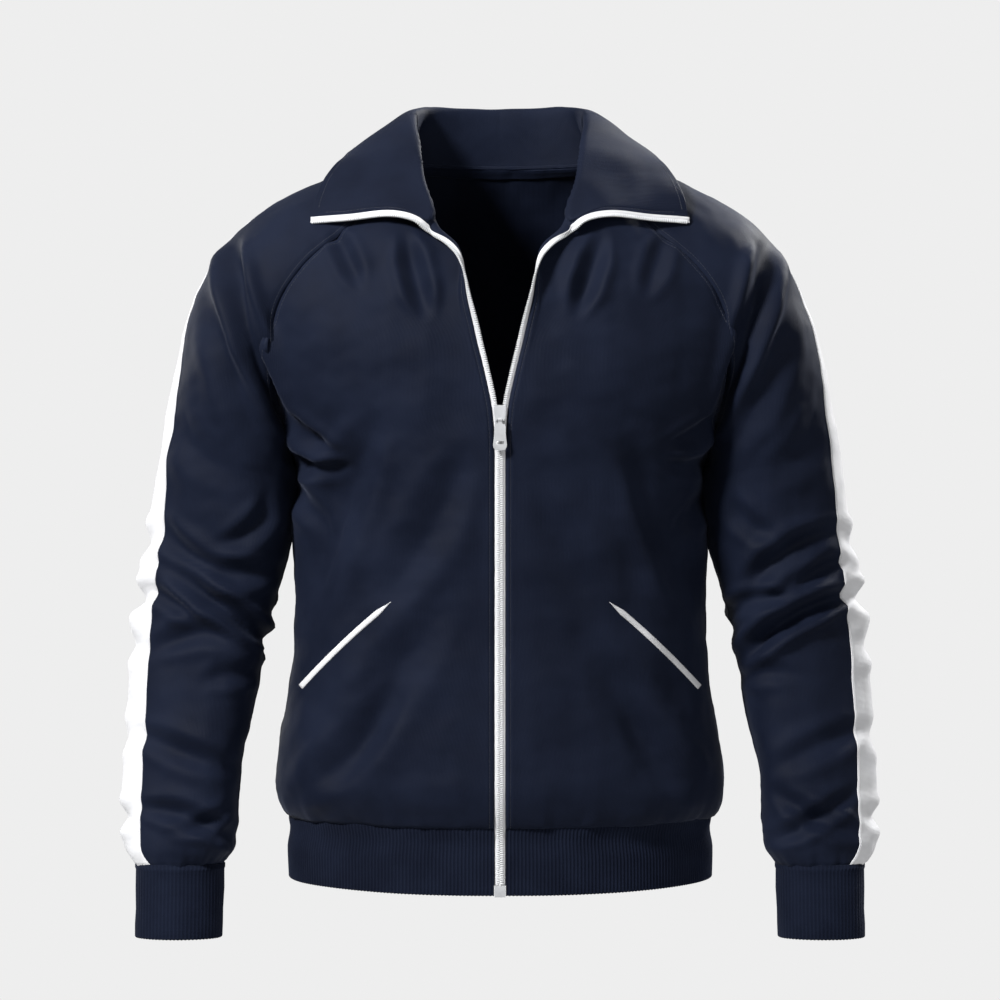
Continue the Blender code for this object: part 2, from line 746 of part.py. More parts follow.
def band_panel(sleeve):
    """The band down the sleeve: the two columns of the sleeve beside its crown."""
    grid, normals = sleeve.grids()
    middle = SLEEVE_COLUMNS // 2
    band = Panel(grid[:, middle - 1 : middle + 2], flipped=True)
    band.normals = normals[:, middle - 1 : middle + 2].reshape(-1, 3)
    return band


def neck_tape_panel(back):
    """The tape inside the back of the neck, along the top of the back panel."""
    grid, normals = back.grids()
    top, below = grid[-1], grid[-2]
    down = unit(below - top)
    panel = Panel(np.array([top + NECK_TAPE_WIDTH * down, top + NECK_TAPE_TOP * down]))
    panel.normals = np.array([normals[-2], normals[-2]]).reshape(-1, 3)
    return panel


def welt_panel(front):
    """The pocket welt: a strip laid on the facets of the front."""
    tree = BVHTree.FromPolygons([tuple(p) for p in front.points], front.faces)

    def on_front(x, z):
        return np.array(tree.ray_cast(Vector((x, -1.0, z)), Vector((0, 1, 0)))[0])

    share = np.linspace(0, 1, WELT_STEPS + 1)
    x = WELT_TOP[0] + (WELT_FOOT[0] - WELT_TOP[0]) * share
    z = WELT_TOP[1] + (WELT_FOOT[1] - WELT_TOP[1]) * share + WELT_BOW * 4 * share * (1 - share)
    middle = np.array([on_front(a, b) for a, b in zip(x, z)])
    run = unit(np.gradient(middle, axis=0))
    across = unit(np.cross(run, [0, 1.0, 0]))
    half = WELT_WIDTH / 2 * np.clip(share / WELT_POINT, 0.15, 1.0)[:, None]
    upper, lower = middle + half * across, middle - half * across
    rows = [[on_front(p[0], p[2]) for p in pair] for pair in zip(upper, lower)]
    return Panel(np.array(rows))


# ---- the zip's metal --------------------------------------------------------------------------


def add_plate(name, outline, thickness, place, material, collection):
    """A flat plate across Y, from a half outline of heights and half widths."""
    right = list(zip(outline["half_width"], outline["height"]))
    ring = right + [(-x, z) for x, z in reversed(right)]
    mesh = bmesh.new()
    face = mesh.faces.new([mesh.verts.new((x, -thickness / 2, z)) for x, z in ring])
    made = bmesh.ops.extrude_face_region(mesh, geom=[face])["geom"]
    corners = [item for item in made if isinstance(item, bmesh.types.BMVert)]
    bmesh.ops.translate(mesh, verts=corners, vec=(0, thickness, 0))
    obj = add_mesh(name, mesh, material, collection)
    obj.location = place
    return obj


def add_box(name, size, place, material, collection):
    mesh = bmesh.new()
    bmesh.ops.create_cube(mesh, size=1)
    bmesh.ops.scale(mesh, vec=size, verts=mesh.verts)
    obj = add_mesh(name, mesh, material, collection)
    obj.location = place
    return obj


def add_pin(name, radius, length, place, material, collection):
    """A cylinder along X."""
    mesh = bmesh.new()
    bmesh.ops.create_cone(
        mesh,
        cap_ends=True,
        segments=ROUND_SIDES,
        radius1=radius,
        radius2=radius,
        depth=length,
        matrix=Matrix.Rotation(math.pi / 2, 4, "Y"),
    )
    obj = add_mesh(name, mesh, material, collection)
    obj.location = place
    return obj


def combine(obj, other, operation):
    """Joins another object to this one, or cuts it away."""
    other.hide_render = True
    other.display_type = "WIRE"
    modifier = obj.modifiers.new(f"{operation.lower()} {other.name}", "BOOLEAN")
    modifier.operation = operation
    modifier.solver = "EXACT"
    modifier.object = other


def add_zip_box(jacket, silver):
    width, depth, height = ZIP_BOX
    front = -BODY["front"][0] + TAPE_THICK / 2
    middle = (0, front, ZIP_BOX_FOOT + height / 2)
    return add_box("zip_box", (width, depth, height), middle, silver, jacket)


def add_slider(jacket, helpers, silver):
    front = ZIP_FACE - SLIDER_CLEAR - SLIDER_PLATE / 2
    back = ZIP_FACE + CLOTH + SLIDER_CLEAR + SLIDER_PLATE / 2
    crown = SLIDER_FOOT + PLATE_OUTLINE["height"][-1]
    slider = add_plate(
        "zip_slider", PLATE_OUTLINE, SLIDER_PLATE, (0, front, SLIDER_FOOT), silver, jacket
    )
    rear = add_plate(
        "slider_back", PLATE_OUTLINE, SLIDER_PLATE, (0, back, SLIDER_FOOT), silver, helpers
    )
    width, height = SLIDER_POST
    size = (width, back - front, height)
    middle = (0, (front + back) / 2, crown - height / 2 - SLIDER_CLEAR)
    post = add_box("slider_post", size, middle, silver, helpers)
    combine(slider, rear, "UNION")
    combine(slider, post, "UNION")
    width, height = BAIL_POST
    face = front - SLIDER_PLATE / 4
    for side, where in (("left", BAIL_SPREAD), ("right", -BAIL_SPREAD)):
        reach = face - PIVOT[1] + CROSSBAR_RADIUS + SLIDER_CLEAR / 2
        size = (width, reach, height)
        bail = add_box(
            f"bail_{side}", size, (where, face - reach / 2, PIVOT[2]), silver, helpers
        )
        combine(slider, bail, "UNION")
    bar = add_pin("crossbar", CROSSBAR_RADIUS, 2 * BAIL_SPREAD, PIVOT, silver, helpers)
    combine(slider, bar, "UNION")
    return slider


def add_pull_tab(jacket, helpers, silver):
    """The tab hangs from the crossbar. Its origin is on the axis."""
    tab = add_plate("zip_pull", TAB_OUTLINE, TAB_THICK, PIVOT, silver, jacket)
    eye = add_pin("tab_eye", EYE_RADIUS, EYE_WIDTH, PIVOT, silver, helpers)
    bore = add_pin("tab_bore", EYE_BORE, 2 * EYE_WIDTH, PIVOT, silver, helpers)
    width, height = SLOT
    middle = (PIVOT[0], PIVOT[1], PIVOT[2] - SLOT_DROP)
    slot = add_box("tab_slot", (width, 4 * TAB_THICK, height), middle, silver, helpers)
    combine(tab, eye, "UNION")
    combine(tab, bore, "DIFFERENCE")
    combine(tab, slot, "DIFFERENCE")
    return tab


# ---- materials and the whole ------------------------------------------------------------------


def make_material(name, colour, roughness, metallic=0.0):
    material = bpy.data.materials.new(name)
    material.use_nodes = True
    shader = material.node_tree.nodes["Principled BSDF"]
    shader.inputs["Base Color"].default_value = colour
    shader.inputs["Roughness"].default_value = roughness
    shader.inputs["Metallic"].default_value = metallic
    return material


def add_cloth(panels, jacket):
    """The navy pieces: fronts, back, sleeves and collar, then the ribs."""
    for name in ("front_left", "front_right", "back", "sleeve_left", "sleeve_right", "collar"):
        navy = make_material(f"{name}_navy_knit", NAVY, 0.85)
        add_wall(name, panels[name], CLOTH, navy, jacket)
    for name in ("waistband", "cuff_left", "cuff_right"):
        rib = make_material(f"{name}_navy_rib", NAVY_RIB, 0.90)
        add_wall(name, panels[name], RIB_CLOTH, rib, jacket)


def add_pair(name, panel, thickness, colour, jacket, **how):
    """A piece on the wearer's left and its mirror image on the right."""
    for side, sided in (("left", panel), ("right", panel.mirror())):
        material = make_material(f"{name}_{side}_{colour[0]}", colour[1], 0.75)
        add_wall(f"{name}_{side}", sided, thickness, material, jacket, **how)


def add_trim(panels, jacket):
    white = ("white_tape", WHITE)
    add_pair("zip_tape", tape_panel(panels), TAPE_THICK, white, jacket, inset=0.0)
    add_pair(
        "sleeve_band",
        band_panel(panels["sleeve_left"]),
        BAND_THICK,
        ("white_knit", WHITE),
        jacket,
        lift=SEAM_GAP,
        inset=BAND_INSET,
    )
    welt = welt_panel(panels["front_left"])
    add_pair("pocket_welt", welt, WELT_THICK, white, jacket, lift=WELT_LIFT, inset=0.0)
    add_wall(
        "neck_tape",
        neck_tape_panel(panels["back"]),
        NECK_TAPE_THICK,
        make_material("neck_tape_navy", NAVY, 0.80),
        jacket,
        lift=-(CLOTH + NECK_TAPE_DROP),
        inset=2 * BAND_INSET,
    )


def main():
    for obj in list(bpy.data.objects):
        bpy.data.objects.remove(obj)
    jacket = bpy.data.collections.new("track_jacket")
    helpers = bpy.data.collections.new("helpers")
    helpers.hide_render = True
    bpy.context.scene.collection.children.link(jacket)
    bpy.context.scene.collection.children.link(helpers)
    panels = cloth_panels()
    add_cloth(panels, jacket)
    add_trim(panels, jacket)
    add_zip_box(jacket, make_material("zip_box_metal", SILVER, 0.35, 1.0))
    add_slider(jacket, helpers, make_material("zip_slider_metal", SILVER, 0.30, 1.0))
    add_pull_tab(jacket, helpers, make_material("zip_pull_metal", SILVER, 0.28, 1.0))


main()
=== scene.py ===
"""Track jacket, filled out as if worn: the cut pieces as thin shells over the CAD's form, with their
folds, seams, stitching, ribs and zip. Metres, +Z up; the wearer faces -Y and their left is +X."""

import math

import bmesh
import bpy
import numpy as np
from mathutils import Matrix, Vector
from mathutils.bvhtree import BVHTree


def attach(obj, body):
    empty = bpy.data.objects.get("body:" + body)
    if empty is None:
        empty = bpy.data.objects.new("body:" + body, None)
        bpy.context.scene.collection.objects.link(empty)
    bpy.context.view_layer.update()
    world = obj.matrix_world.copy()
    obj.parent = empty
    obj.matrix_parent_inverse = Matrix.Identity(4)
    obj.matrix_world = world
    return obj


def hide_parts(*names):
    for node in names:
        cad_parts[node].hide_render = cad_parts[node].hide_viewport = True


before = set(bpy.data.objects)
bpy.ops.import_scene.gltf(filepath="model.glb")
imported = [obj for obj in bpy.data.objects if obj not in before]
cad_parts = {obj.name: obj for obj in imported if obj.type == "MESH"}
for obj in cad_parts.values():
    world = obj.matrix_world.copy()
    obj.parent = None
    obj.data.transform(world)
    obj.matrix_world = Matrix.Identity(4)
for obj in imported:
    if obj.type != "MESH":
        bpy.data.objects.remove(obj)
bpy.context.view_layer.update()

# Sizes that the CAD uses too
SEAM_GAP = 0.0003
TAPE_WIDTH = 0.005
BAND_WIDTH = 0.070
HEM_HEIGHT = -0.660
WAIST_SEAM = -0.600
CUFF_SEAM_ROW = 9
ROLL_RADIUS = 0.0030
FULL_STAND = 0.030
CREST = 0.010
FALL_CROWN = 0.005
NECK_ROW = 8
SEAM_FILL = 0.74         # what a sleeve narrowed at its crown gains beside its seam
HALF_OVAL = 4 / 3
TAPE_FOOT = -0.6506
WELT_TOP = (0.0980, -0.3965)
WELT_FOOT = (0.1825, -0.4760)
WELT_BOW = 0.0030

# Sizes of the visible cloth
CLOTH = 0.0011           # one ply of the body's knit
COLLAR_CLOTH = 0.0018    # two plies
ROW_HEIGHT = 0.0360      # height that one row of the raglan tables stands for
SEAM_STEPS = (0.0007, 0.0015, 0.0025, 0.0040)    # places of the close rows beside a seam

SIDES = (("left", 1), ("right", -1))

# Rows and columns of the cloth
UPPER_ROWS = 100
LOWER_ROWS = 98
FLAP_COLUMNS = 12
FRONT_COLUMNS = 60
BACK_COLUMNS = 60        # on each side of the centre
BAND_COLUMNS = 10        # on each side of the crown
SIDE_COLUMNS = 50        # from the band to the seam
ARM_ROWS = 112
COLLAR_ROWS = 44
SMOOTH = 90              # points that measure a row's curve
ARM_KEY = 1.30           # how many raglan rows one row of the arm table stands for


def table(columns, *rows):
    """A table as a dictionary of its named columns."""
    return dict(zip(columns.split(), np.array(rows, float).T))


# The body below the armpits, from the hem up. dip is how far its sides rise over its middle.
BODY = table(
    "height half_width front back square dip",
    (-0.660, 0.1965, 0.128, 0.121, 0.60, 0.006),
    (-0.630, 0.1975, 0.127, 0.120, 0.60, 0.004),
    (-0.602, 0.1965, 0.128, 0.121, 0.60, 0.002),
    (-0.592, 0.2030, 0.134, 0.127, 0.61, 0.001),
    (-0.572, 0.2090, 0.141, 0.134, 0.62, 0),
    (-0.545, 0.2070, 0.142, 0.133, 0.62, 0),
    (-0.500, 0.1990, 0.140, 0.127, 0.62, 0),
    (-0.450, 0.1925, 0.138, 0.120, 0.61, 0),
    (-0.400, 0.1895, 0.138, 0.117, 0.60, 0),
    (-0.350, 0.1890, 0.140, 0.120, 0.59, 0),
    (-0.285, 0.1860, 0.142, 0.126, 0.61, 0),
)

# From the armpit to the neck: where the front edge folds, how far it has turned back, and the
# width of cloth beyond the fold
FRONT_EDGE = table(
    "fold_x fold_y fold_z turned beyond reach",
    (0.0140, -0.1420, -0.285, 0, 0.0140, 0.104),
    (0.0140, -0.1440, -0.252, 0, 0.0140, 0.106),
    (0.0165, -0.1445, -0.221, 0, 0.0140, 0.106),
    (0.0235, -0.1430, -0.188, 0, 0.0140, 0.100),
    (0.0320, -0.1395, -0.155, 8, 0.0145, 0.088),
    (0.0385, -0.1340, -0.122, 42, 0.0150, 0.072),
    (0.0385, -0.1245, -0.094, 98, 0.0170, 0.052),
    (0.0480, -0.1130, -0.070, 150, 0.0210, 0.032),
    (0.0610, -0.0980, -0.043, 176, 0.0260, 0.016),
)

# The same rows: the raglan seams and the crown of the sleeve between them. A swing turns the
# handle of a row from straight forwards, at 0, towards the body or the crown, at 90.
RAGLAN_FRONT = table(
    "x y z body_swing body_reach sleeve_swing sleeve_reach crown_reach",
    (0.1860, 0.000, -0.285, 0, 0.087, 0, 0.1061, 0.0698),
    (0.1965, -0.040, -0.247, 14, 0.052, 12, 0.070, 0.066),
    (0.2045, -0.070, -0.207, 32, 0.044, 32, 0.048, 0.062),
    (0.2075, -0.088, -0.166, 48, 0.043, 52, 0.038, 0.064),
    (0.2000, -0.097, -0.127, 60, 0.042, 72, 0.032, 0.074),
    (0.1770, -0.099, -0.092, 66, 0.038, 92, 0.032, 0.074),
    (0.1460, -0.092, -0.065, 66, 0.028, 110, 0.030, 0.062),
    (0.1160, -0.078, -0.041, 60, 0.018, 124, 0.026, 0.048),
    (0.0900, -0.062, -0.018, 50, 0.012, 134, 0.020, 0.036),
)
RAGLAN_BACK = table(
    "x y z body_swing body_reach sleeve_swing sleeve_reach crown_reach",
    (0.1860, 0.000, -0.285, 0, 0.075, 0, 0.1061, 0.0698),
    (0.1970, 0.043, -0.243, 16, 0.042, 12, 0.070, 0.066),
    (0.2060, 0.075, -0.202, 36, 0.038, 32, 0.048, 0.064),
    (0.2080, 0.097, -0.160, 54, 0.038, 52, 0.038, 0.070),
    (0.1930, 0.110, -0.118, 68, 0.041, 74, 0.032, 0.082),
    (0.1680, 0.112, -0.080, 78, 0.048, 94, 0.032, 0.082),
    (0.1400, 0.103, -0.045, 84, 0.042, 112, 0.030, 0.068),
    (0.1110, 0.085, -0.014, 86, 0.034, 124, 0.026, 0.050),
    (0.0840, 0.062, 0.010, 80, 0.024, 132, 0.020, 0.036),
)
# band is how far the band's front edge lies in front of the crown
CROWN = table(
    "x y z band",
    (0.3160, 0.000, -0.262, 0.036),
    (0.3095, 0.000, -0.228, 0.036),
    (0.3020, 0.000, -0.187, 0.034),
    (0.2885, 0.001, -0.138, 0.026),
    (0.2680, 0.003, -0.091, 0.014),
    (0.2290, 0.005, -0.043, 0.005),
    (0.1760, 0.006, -0.014, 0.003),
    (0.1280, 0.006, 0.006, 0.003),
    (0.0880, 0.004, 0.018, 0.003),
)
BACK_CENTRE = table(
    "y z reach",
    (0.126, -0.285, 0.110),
    (0.129, -0.245, 0.108),
    (0.131, -0.205, 0.104),
    (0.131, -0.165, 0.098),
    (0.128, -0.125, 0.090),
    (0.122, -0.088, 0.080),
    (0.112, -0.053, 0.068),
    (0.098, -0.021, 0.054),
    (0.080, 0.009, 0.040),
)

# The sleeve below the armpit, down to the end of the cuff
ARM = table(
    "outer_x outer_z inner_x inner_z y depth_front depth_back crown_share",
    (0.3160, -0.262, 0.1860, -0.285, 0.000, 0.0680, 0.0680, 0.77),
    (0.3225, -0.308, 0.1915, -0.325, 0.001, 0.0640, 0.0640, 0.66),
    (0.3305, -0.358, 0.2005, -0.368, 0.001, 0.0600, 0.0605, 0.56),
    (0.3375, -0.408, 0.2110, -0.410, -0.002, 0.0570, 0.0580, 0.50),
    (0.3425, -0.455, 0.2195, -0.455, -0.008, 0.0530, 0.0540, 0.50),
    (0.3445, -0.503, 0.2285, -0.501, -0.016, 0.0510, 0.0520, 0.50),
    (0.3460, -0.550, 0.2385, -0.548, -0.025, 0.0490, 0.0500, 0.50),
    (0.3465, -0.594, 0.2410, -0.592, -0.034, 0.0475, 0.0480, 0.52),
    (0.3445, -0.623, 0.2430, -0.622, -0.040, 0.0455, 0.0460, 0.62),
    (0.3325, -0.640, 0.2550, -0.640, -0.044, 0.0350, 0.0350, 1.00),
    (0.3310, -0.646, 0.2562, -0.646, -0.0455, 0.0335, 0.0335, 1.00),
    (0.3305, -0.680, 0.2565, -0.680, -0.053, 0.0330, 0.0330, 1.00),
    (0.3305, -0.704, 0.2565, -0.704, -0.058, 0.0330, 0.0330, 1.00),
)

# The collar, from the centre of the back to the zip. place counts along the neck seam: 0 at the
# centre of the back, 1 and 2 at the raglan seams, 3 where the collar has rolled to its seam, 4 at
# the zip.
COLLAR = table(
    "place roll_x roll_y roll_z edge_x edge_y edge_z",
    (0.0, 0.0000, 0.0830, 0.0655, 0.0000, 0.1060, 0.0145),
    (0.5, 0.0420, 0.0770, 0.0660, 0.0480, 0.1020, 0.0150),
    (1.0, 0.0720, 0.0560, 0.0640, 0.0910, 0.0810, 0.0230),
    (1.5, 0.0820, 0.0040, 0.0525, 0.1320, 0.0170, 0.0215),
    (2.0, 0.0770, -0.0500, 0.0190, 0.1470, -0.0330, 0.0060),
    (2.5, 0.0710, -0.0800, -0.0130, 0.1590, -0.0540, -0.0100),
    (3.0, 0.0600, -0.1050, -0.0430, 0.1655, -0.0700, -0.0260),
    (4.0, 0.0700, -0.1140, -0.0550, 0.1710, -0.0830, -0.0500),
)

# Folds seen from the front, at three places along each in x and z. depth is how far the trough
# sinks, width half its breadth, and ridge how high the cloth beside it rises, as a share of depth.
FRONT_FOLDS = table(
    "x0 z0 x1 z1 x2 z2 depth width ridge",
    # the wearer's right sleeve
    (-0.318, -0.316, -0.272, -0.366, -0.200, -0.368, 0.0042, 0.0085, 0.60),
    (-0.312, -0.362, -0.258, -0.400, -0.206, -0.440, 0.0062, 0.0070, 0.70),
    (-0.330, -0.384, -0.300, -0.400, -0.276, -0.416, 0.0026, 0.0055, 0.50),
    (-0.322, -0.446, -0.274, -0.426, -0.232, -0.438, 0.0036, 0.0080, 0.50),
    (-0.272, -0.472, -0.245, -0.464, -0.216, -0.466, 0.0022, 0.0070, 0.50),
    (-0.336, -0.516, -0.292, -0.534, -0.238, -0.552, 0.0030, 0.0080, 0.50),
    (-0.332, -0.586, -0.280, -0.594, -0.240, -0.620, 0.0036, 0.0070, 0.60),
    (-0.300, -0.606, -0.270, -0.600, -0.248, -0.584, 0.0022, 0.0055, 0.50),
    (-0.244, -0.066, -0.236, -0.130, -0.196, -0.236, 0.0062, 0.0080, 0.80),
    (-0.262, -0.110, -0.246, -0.180, -0.214, -0.262, 0.0030, 0.0110, 0.50),
    (-0.214, -0.300, -0.224, -0.330, -0.262, -0.348, 0.0030, 0.0070, 0.50),
    (-0.302, -0.220, -0.280, -0.258, -0.236, -0.286, 0.0020, 0.0110, 0.50),
    # the wearer's left sleeve
    (0.222, -0.456, 0.262, -0.416, 0.336, -0.388, 0.0062, 0.0070, 0.75),
    (0.206, -0.414, 0.232, -0.396, 0.268, -0.398, 0.0034, 0.0060, 0.55),
    (0.228, -0.390, 0.256, -0.356, 0.312, -0.330, 0.0044, 0.0080, 0.60),
    (0.272, -0.388, 0.296, -0.368, 0.326, -0.360, 0.0026, 0.0055, 0.50),
    (0.216, -0.474, 0.242, -0.462, 0.272, -0.466, 0.0022, 0.0065, 0.50),
    (0.246, -0.552, 0.290, -0.530, 0.338, -0.512, 0.0028, 0.0085, 0.50),
    (0.250, -0.570, 0.288, -0.594, 0.332, -0.612, 0.0032, 0.0070, 0.50),
    (0.246, -0.616, 0.288, -0.594, 0.326, -0.570, 0.0032, 0.0065, 0.50),
    (0.240, -0.070, 0.234, -0.124, 0.198, -0.232, 0.0052, 0.0085, 0.75),
    (0.264, -0.116, 0.244, -0.190, 0.212, -0.256, 0.0026, 0.0110, 0.50),
    (0.212, -0.298, 0.226, -0.326, 0.258, -0.338, 0.0028, 0.0070, 0.50),
    (0.304, -0.210, 0.286, -0.250, 0.240, -0.290, 0.0018, 0.0110, 0.50),
    # the fronts
    (-0.112, -0.236, -0.146, -0.316, -0.172, -0.416, 0.0034, 0.0140, 0.55),
    (-0.148, -0.270, -0.166, -0.330, -0.182, -0.400, 0.0024, 0.0110, 0.40),
    (-0.030, -0.262, -0.062, -0.330, -0.106, -0.398, 0.0020, 0.0140, 0.50),
    (-0.052, -0.404, -0.112, -0.492, -0.150, -0.582, 0.0022, 0.0150, 0.50),
    (-0.090, -0.470, -0.134, -0.530, -0.186, -0.574, 0.0020, 0.0110, 0.50),
    (0.120, -0.262, 0.154, -0.342, 0.176, -0.412, 0.0030, 0.0130, 0.55),
    (0.152, -0.262, 0.170, -0.320, 0.184, -0.390, 0.0020, 0.0110, 0.40),
    (0.030, -0.300, 0.062, -0.362, 0.094, -0.420, 0.0014, 0.0150, 0.50),
    (0.076, -0.430, 0.122, -0.510, 0.156, -0.584, 0.0018, 0.0150, 0.50),
    (0.112, -0.486, 0.150, -0.540, 0.190, -0.572, 0.0018, 0.0110, 0.50),
    (-0.152, -0.062, -0.138, -0.086, -0.126, -0.116, 0.0020, 0.0065, 0.50),
    (-0.085, -0.068, -0.076, -0.104, -0.066, -0.140, 0.0026, 0.0075, 0.70),
    (0.092, -0.068, 0.080, -0.104, 0.068, -0.138, 0.0024, 0.0075, 0.70),
    (0.148, -0.066, 0.142, -0.090, 0.130, -0.122, 0.0016, 0.0070, 0.50),
    (-0.196, -0.222, -0.178, -0.246, -0.146, -0.262, 0.0026, 0.0065, 0.55),
    (-0.192, -0.262, -0.172, -0.274, -0.140, -0.276, 0.0022, 0.0060, 0.50),
    (-0.188, -0.292, -0.176, -0.306, -0.166, -0.336, 0.0020, 0.0060, 0.50),
    (0.198, -0.226, 0.180, -0.244, 0.150, -0.256, 0.0024, 0.0065, 0.55),
    (0.192, -0.266, 0.170, -0.274, 0.146, -0.270, 0.0020, 0.0060, 0.50),
    (0.188, -0.296, 0.178, -0.314, 0.164, -0.340, 0.0018, 0.0065, 0.50),
)

# The same, seen from behind: x and z are still the jacket's own
BACK_FOLDS = table(
    "x0 z0 x1 z1 x2 z2 depth width ridge",
    # the back
    (0.096, -0.190, 0.124, -0.300, 0.182, -0.462, 0.0034, 0.0150, 0.60),
    (-0.104, -0.230, -0.134, -0.340, -0.170, -0.452, 0.0032, 0.0140, 0.60),
    (0.150, -0.260, 0.166, -0.330, 0.186, -0.410, 0.0024, 0.0110, 0.45),
    (-0.152, -0.276, -0.166, -0.350, -0.186, -0.420, 0.0022, 0.0110, 0.45),
    (0.040, -0.240, 0.034, -0.370, 0.050, -0.500, 0.0016, 0.0180, 0.40),
    (-0.036, -0.290, -0.044, -0.400, -0.040, -0.530, 0.0014, 0.0170, 0.40),
    (0.070, -0.430, 0.112, -0.510, 0.150, -0.584, 0.0020, 0.0130, 0.50),
    (-0.074, -0.450, -0.110, -0.520, -0.158, -0.580, 0.0020, 0.0130, 0.50),
    (0.186, -0.504, 0.160, -0.548, 0.118, -0.586, 0.0020, 0.0100, 0.50),
    (-0.186, -0.510, -0.164, -0.552, -0.126, -0.588, 0.0018, 0.0100, 0.50),
    (0.198, -0.214, 0.172, -0.236, 0.134, -0.244, 0.0026, 0.0075, 0.55),
    (-0.196, -0.220, -0.168, -0.238, -0.138, -0.240, 0.0024, 0.0075, 0.55),
    (0.190, -0.262, 0.174, -0.286, 0.152, -0.326, 0.0022, 0.0070, 0.50),
    (-0.190, -0.268, -0.172, -0.290, -0.156, -0.322, 0.0020, 0.0070, 0.50),
    # the wearer's left sleeve
    (0.330, -0.378, 0.268, -0.394, 0.208, -0.430, 0.0052, 0.0075, 0.65),
    (0.318, -0.330, 0.266, -0.362, 0.212, -0.392, 0.0044, 0.0075, 0.60),
    (0.340, -0.590, 0.284, -0.592, 0.240, -0.612, 0.0032, 0.0070, 0.50),
    (0.330, -0.448, 0.286, -0.440, 0.228, -0.462, 0.0026, 0.0080, 0.50),
    (0.342, -0.520, 0.296, -0.530, 0.240, -0.524, 0.0024, 0.0085, 0.50),
    (0.236, -0.084, 0.232, -0.140, 0.204, -0.232, 0.0046, 0.0090, 0.70),
    (0.296, -0.200, 0.272, -0.250, 0.222, -0.282, 0.0026, 0.0095, 0.50),
    (0.214, -0.296, 0.230, -0.320, 0.262, -0.330, 0.0024, 0.0075, 0.50),
    # the wearer's right sleeve
    (-0.204, -0.450, -0.256, -0.420, -0.334, -0.398, 0.0054, 0.0075, 0.65),
    (-0.202, -0.416, -0.242, -0.398, -0.298, -0.380, 0.0038, 0.0070, 0.60),
    (-0.338, -0.600, -0.290, -0.592, -0.240, -0.614, 0.0032, 0.0070, 0.50),
    (-0.326, -0.336, -0.276, -0.350, -0.216, -0.372, 0.0030, 0.0080, 0.50),
    (-0.340, -0.500, -0.292, -0.508, -0.238, -0.528, 0.0024, 0.0085, 0.50),
    (-0.238, -0.080, -0.230, -0.146, -0.200, -0.236, 0.0050, 0.0090, 0.70),
    (-0.300, -0.206, -0.270, -0.256, -0.220, -0.286, 0.0024, 0.0095, 0.50),
    (-0.216, -0.300, -0.232, -0.322, -0.258, -0.328, 0.0024, 0.0075, 0.50),
)

# Folds round the outer side of each sleeve, which no view shows: y and z at three places along each
SIDE_FOLDS = table(
    "y0 z0 y1 z1 y2 z2 depth width ridge",
    (-0.060, -0.372, -0.010, -0.396, 0.052, -0.386, 0.0040, 0.0080, 0.60),
    (-0.052, -0.330, 0.004, -0.344, 0.054, -0.330, 0.0026, 0.0090, 0.50),
    (-0.062, -0.430, -0.020, -0.440, 0.034, -0.430, 0.0024, 0.0085, 0.50),
    (-0.070, -0.590, -0.036, -0.596, 0.008, -0.590, 0.0028, 0.0070, 0.50),
    (-0.050, -0.514, -0.006, -0.524, 0.030, -0.512, 0.0018, 0.0090, 0.50),
)


# ---- curves and surfaces, as in the CAD --------------------------------------------------------

ACROSS, DEEP, UP = np.eye(3)


def hermite(keys, values, at):
    """The smooth cubic through the values at the keys, read at the given places."""
    keys, values = np.asarray(keys, float), np.asarray(values, float)
    slopes = np.gradient(values, keys, axis=0)
    at = np.atleast_1d(np.asarray(at, float))
    left = np.clip(np.searchsorted(keys, at, side="right") - 1, 0, len(keys) - 2)
    shape = (len(at),) + (1,) * (values.ndim - 1)
    width = (keys[left + 1] - keys[left]).reshape(shape)
    u = (at - keys[left]).reshape(shape) / width
    return (
        (1 + 2 * u) * (1 - u) ** 2 * values[left]
        + u * (1 - u) ** 2 * width * slopes[left]
        + u * u * (3 - 2 * u) * values[left + 1]
        + u * u * (u - 1) * width * slopes[left + 1]
    )


def read(rows, column, at):
    values = rows[column]
    return float(hermite(np.arange(len(values)), values, at)[0])


def point_of(rows, at, columns="x y z"):
    return np.array([read(rows, column, at) for column in columns.split()])


def unit(vector):
    vector = np.asarray(vector, float)
    return vector / np.maximum(np.linalg.norm(vector, axis=-1, keepdims=True), 1e-12)


def ease(low, high, value):
    """0 below low, 1 above high, and smooth between."""
    t = np.clip((value - low) / (high - low), 0, 1)
    return t * t * (3 - 2 * t)


def bezier(curve, u):
    p0, p1, p2, p3 = curve
    u = np.asarray(u, float)[..., None]
    v = 1 - u
    return v**3 * p0 + 3 * v * v * u * p1 + 3 * v * u * u * p2 + u**3 * p3


def lengths(line):
    return np.concatenate([[0], np.cumsum(np.linalg.norm(np.diff(line, axis=0), axis=1))])


def along(line, wanted):
    """Points of a polyline at distances along it."""
    run = lengths(line)
    return np.stack([np.interp(wanted, run, line[:, k]) for k in range(3)], axis=1)


def spaced(length, count, near=(), far=()):
    """count + 1 distances from 0 to a length, with closer ones beside the ends that ask for them."""
    near, far = np.array(near), length - np.array(far)[::-1]
    low = near[-1] if len(near) else 0.0
    high = far[0] if len(far) else length
    middle = np.linspace(low, high, count + 1 - len(near) - len(far))
    parts = [[0.0]] * bool(len(near)) + [near[:-1], middle, far[1:]] + [[length]] * bool(len(far))
    return np.concatenate([np.asarray(p, float) for p in parts])


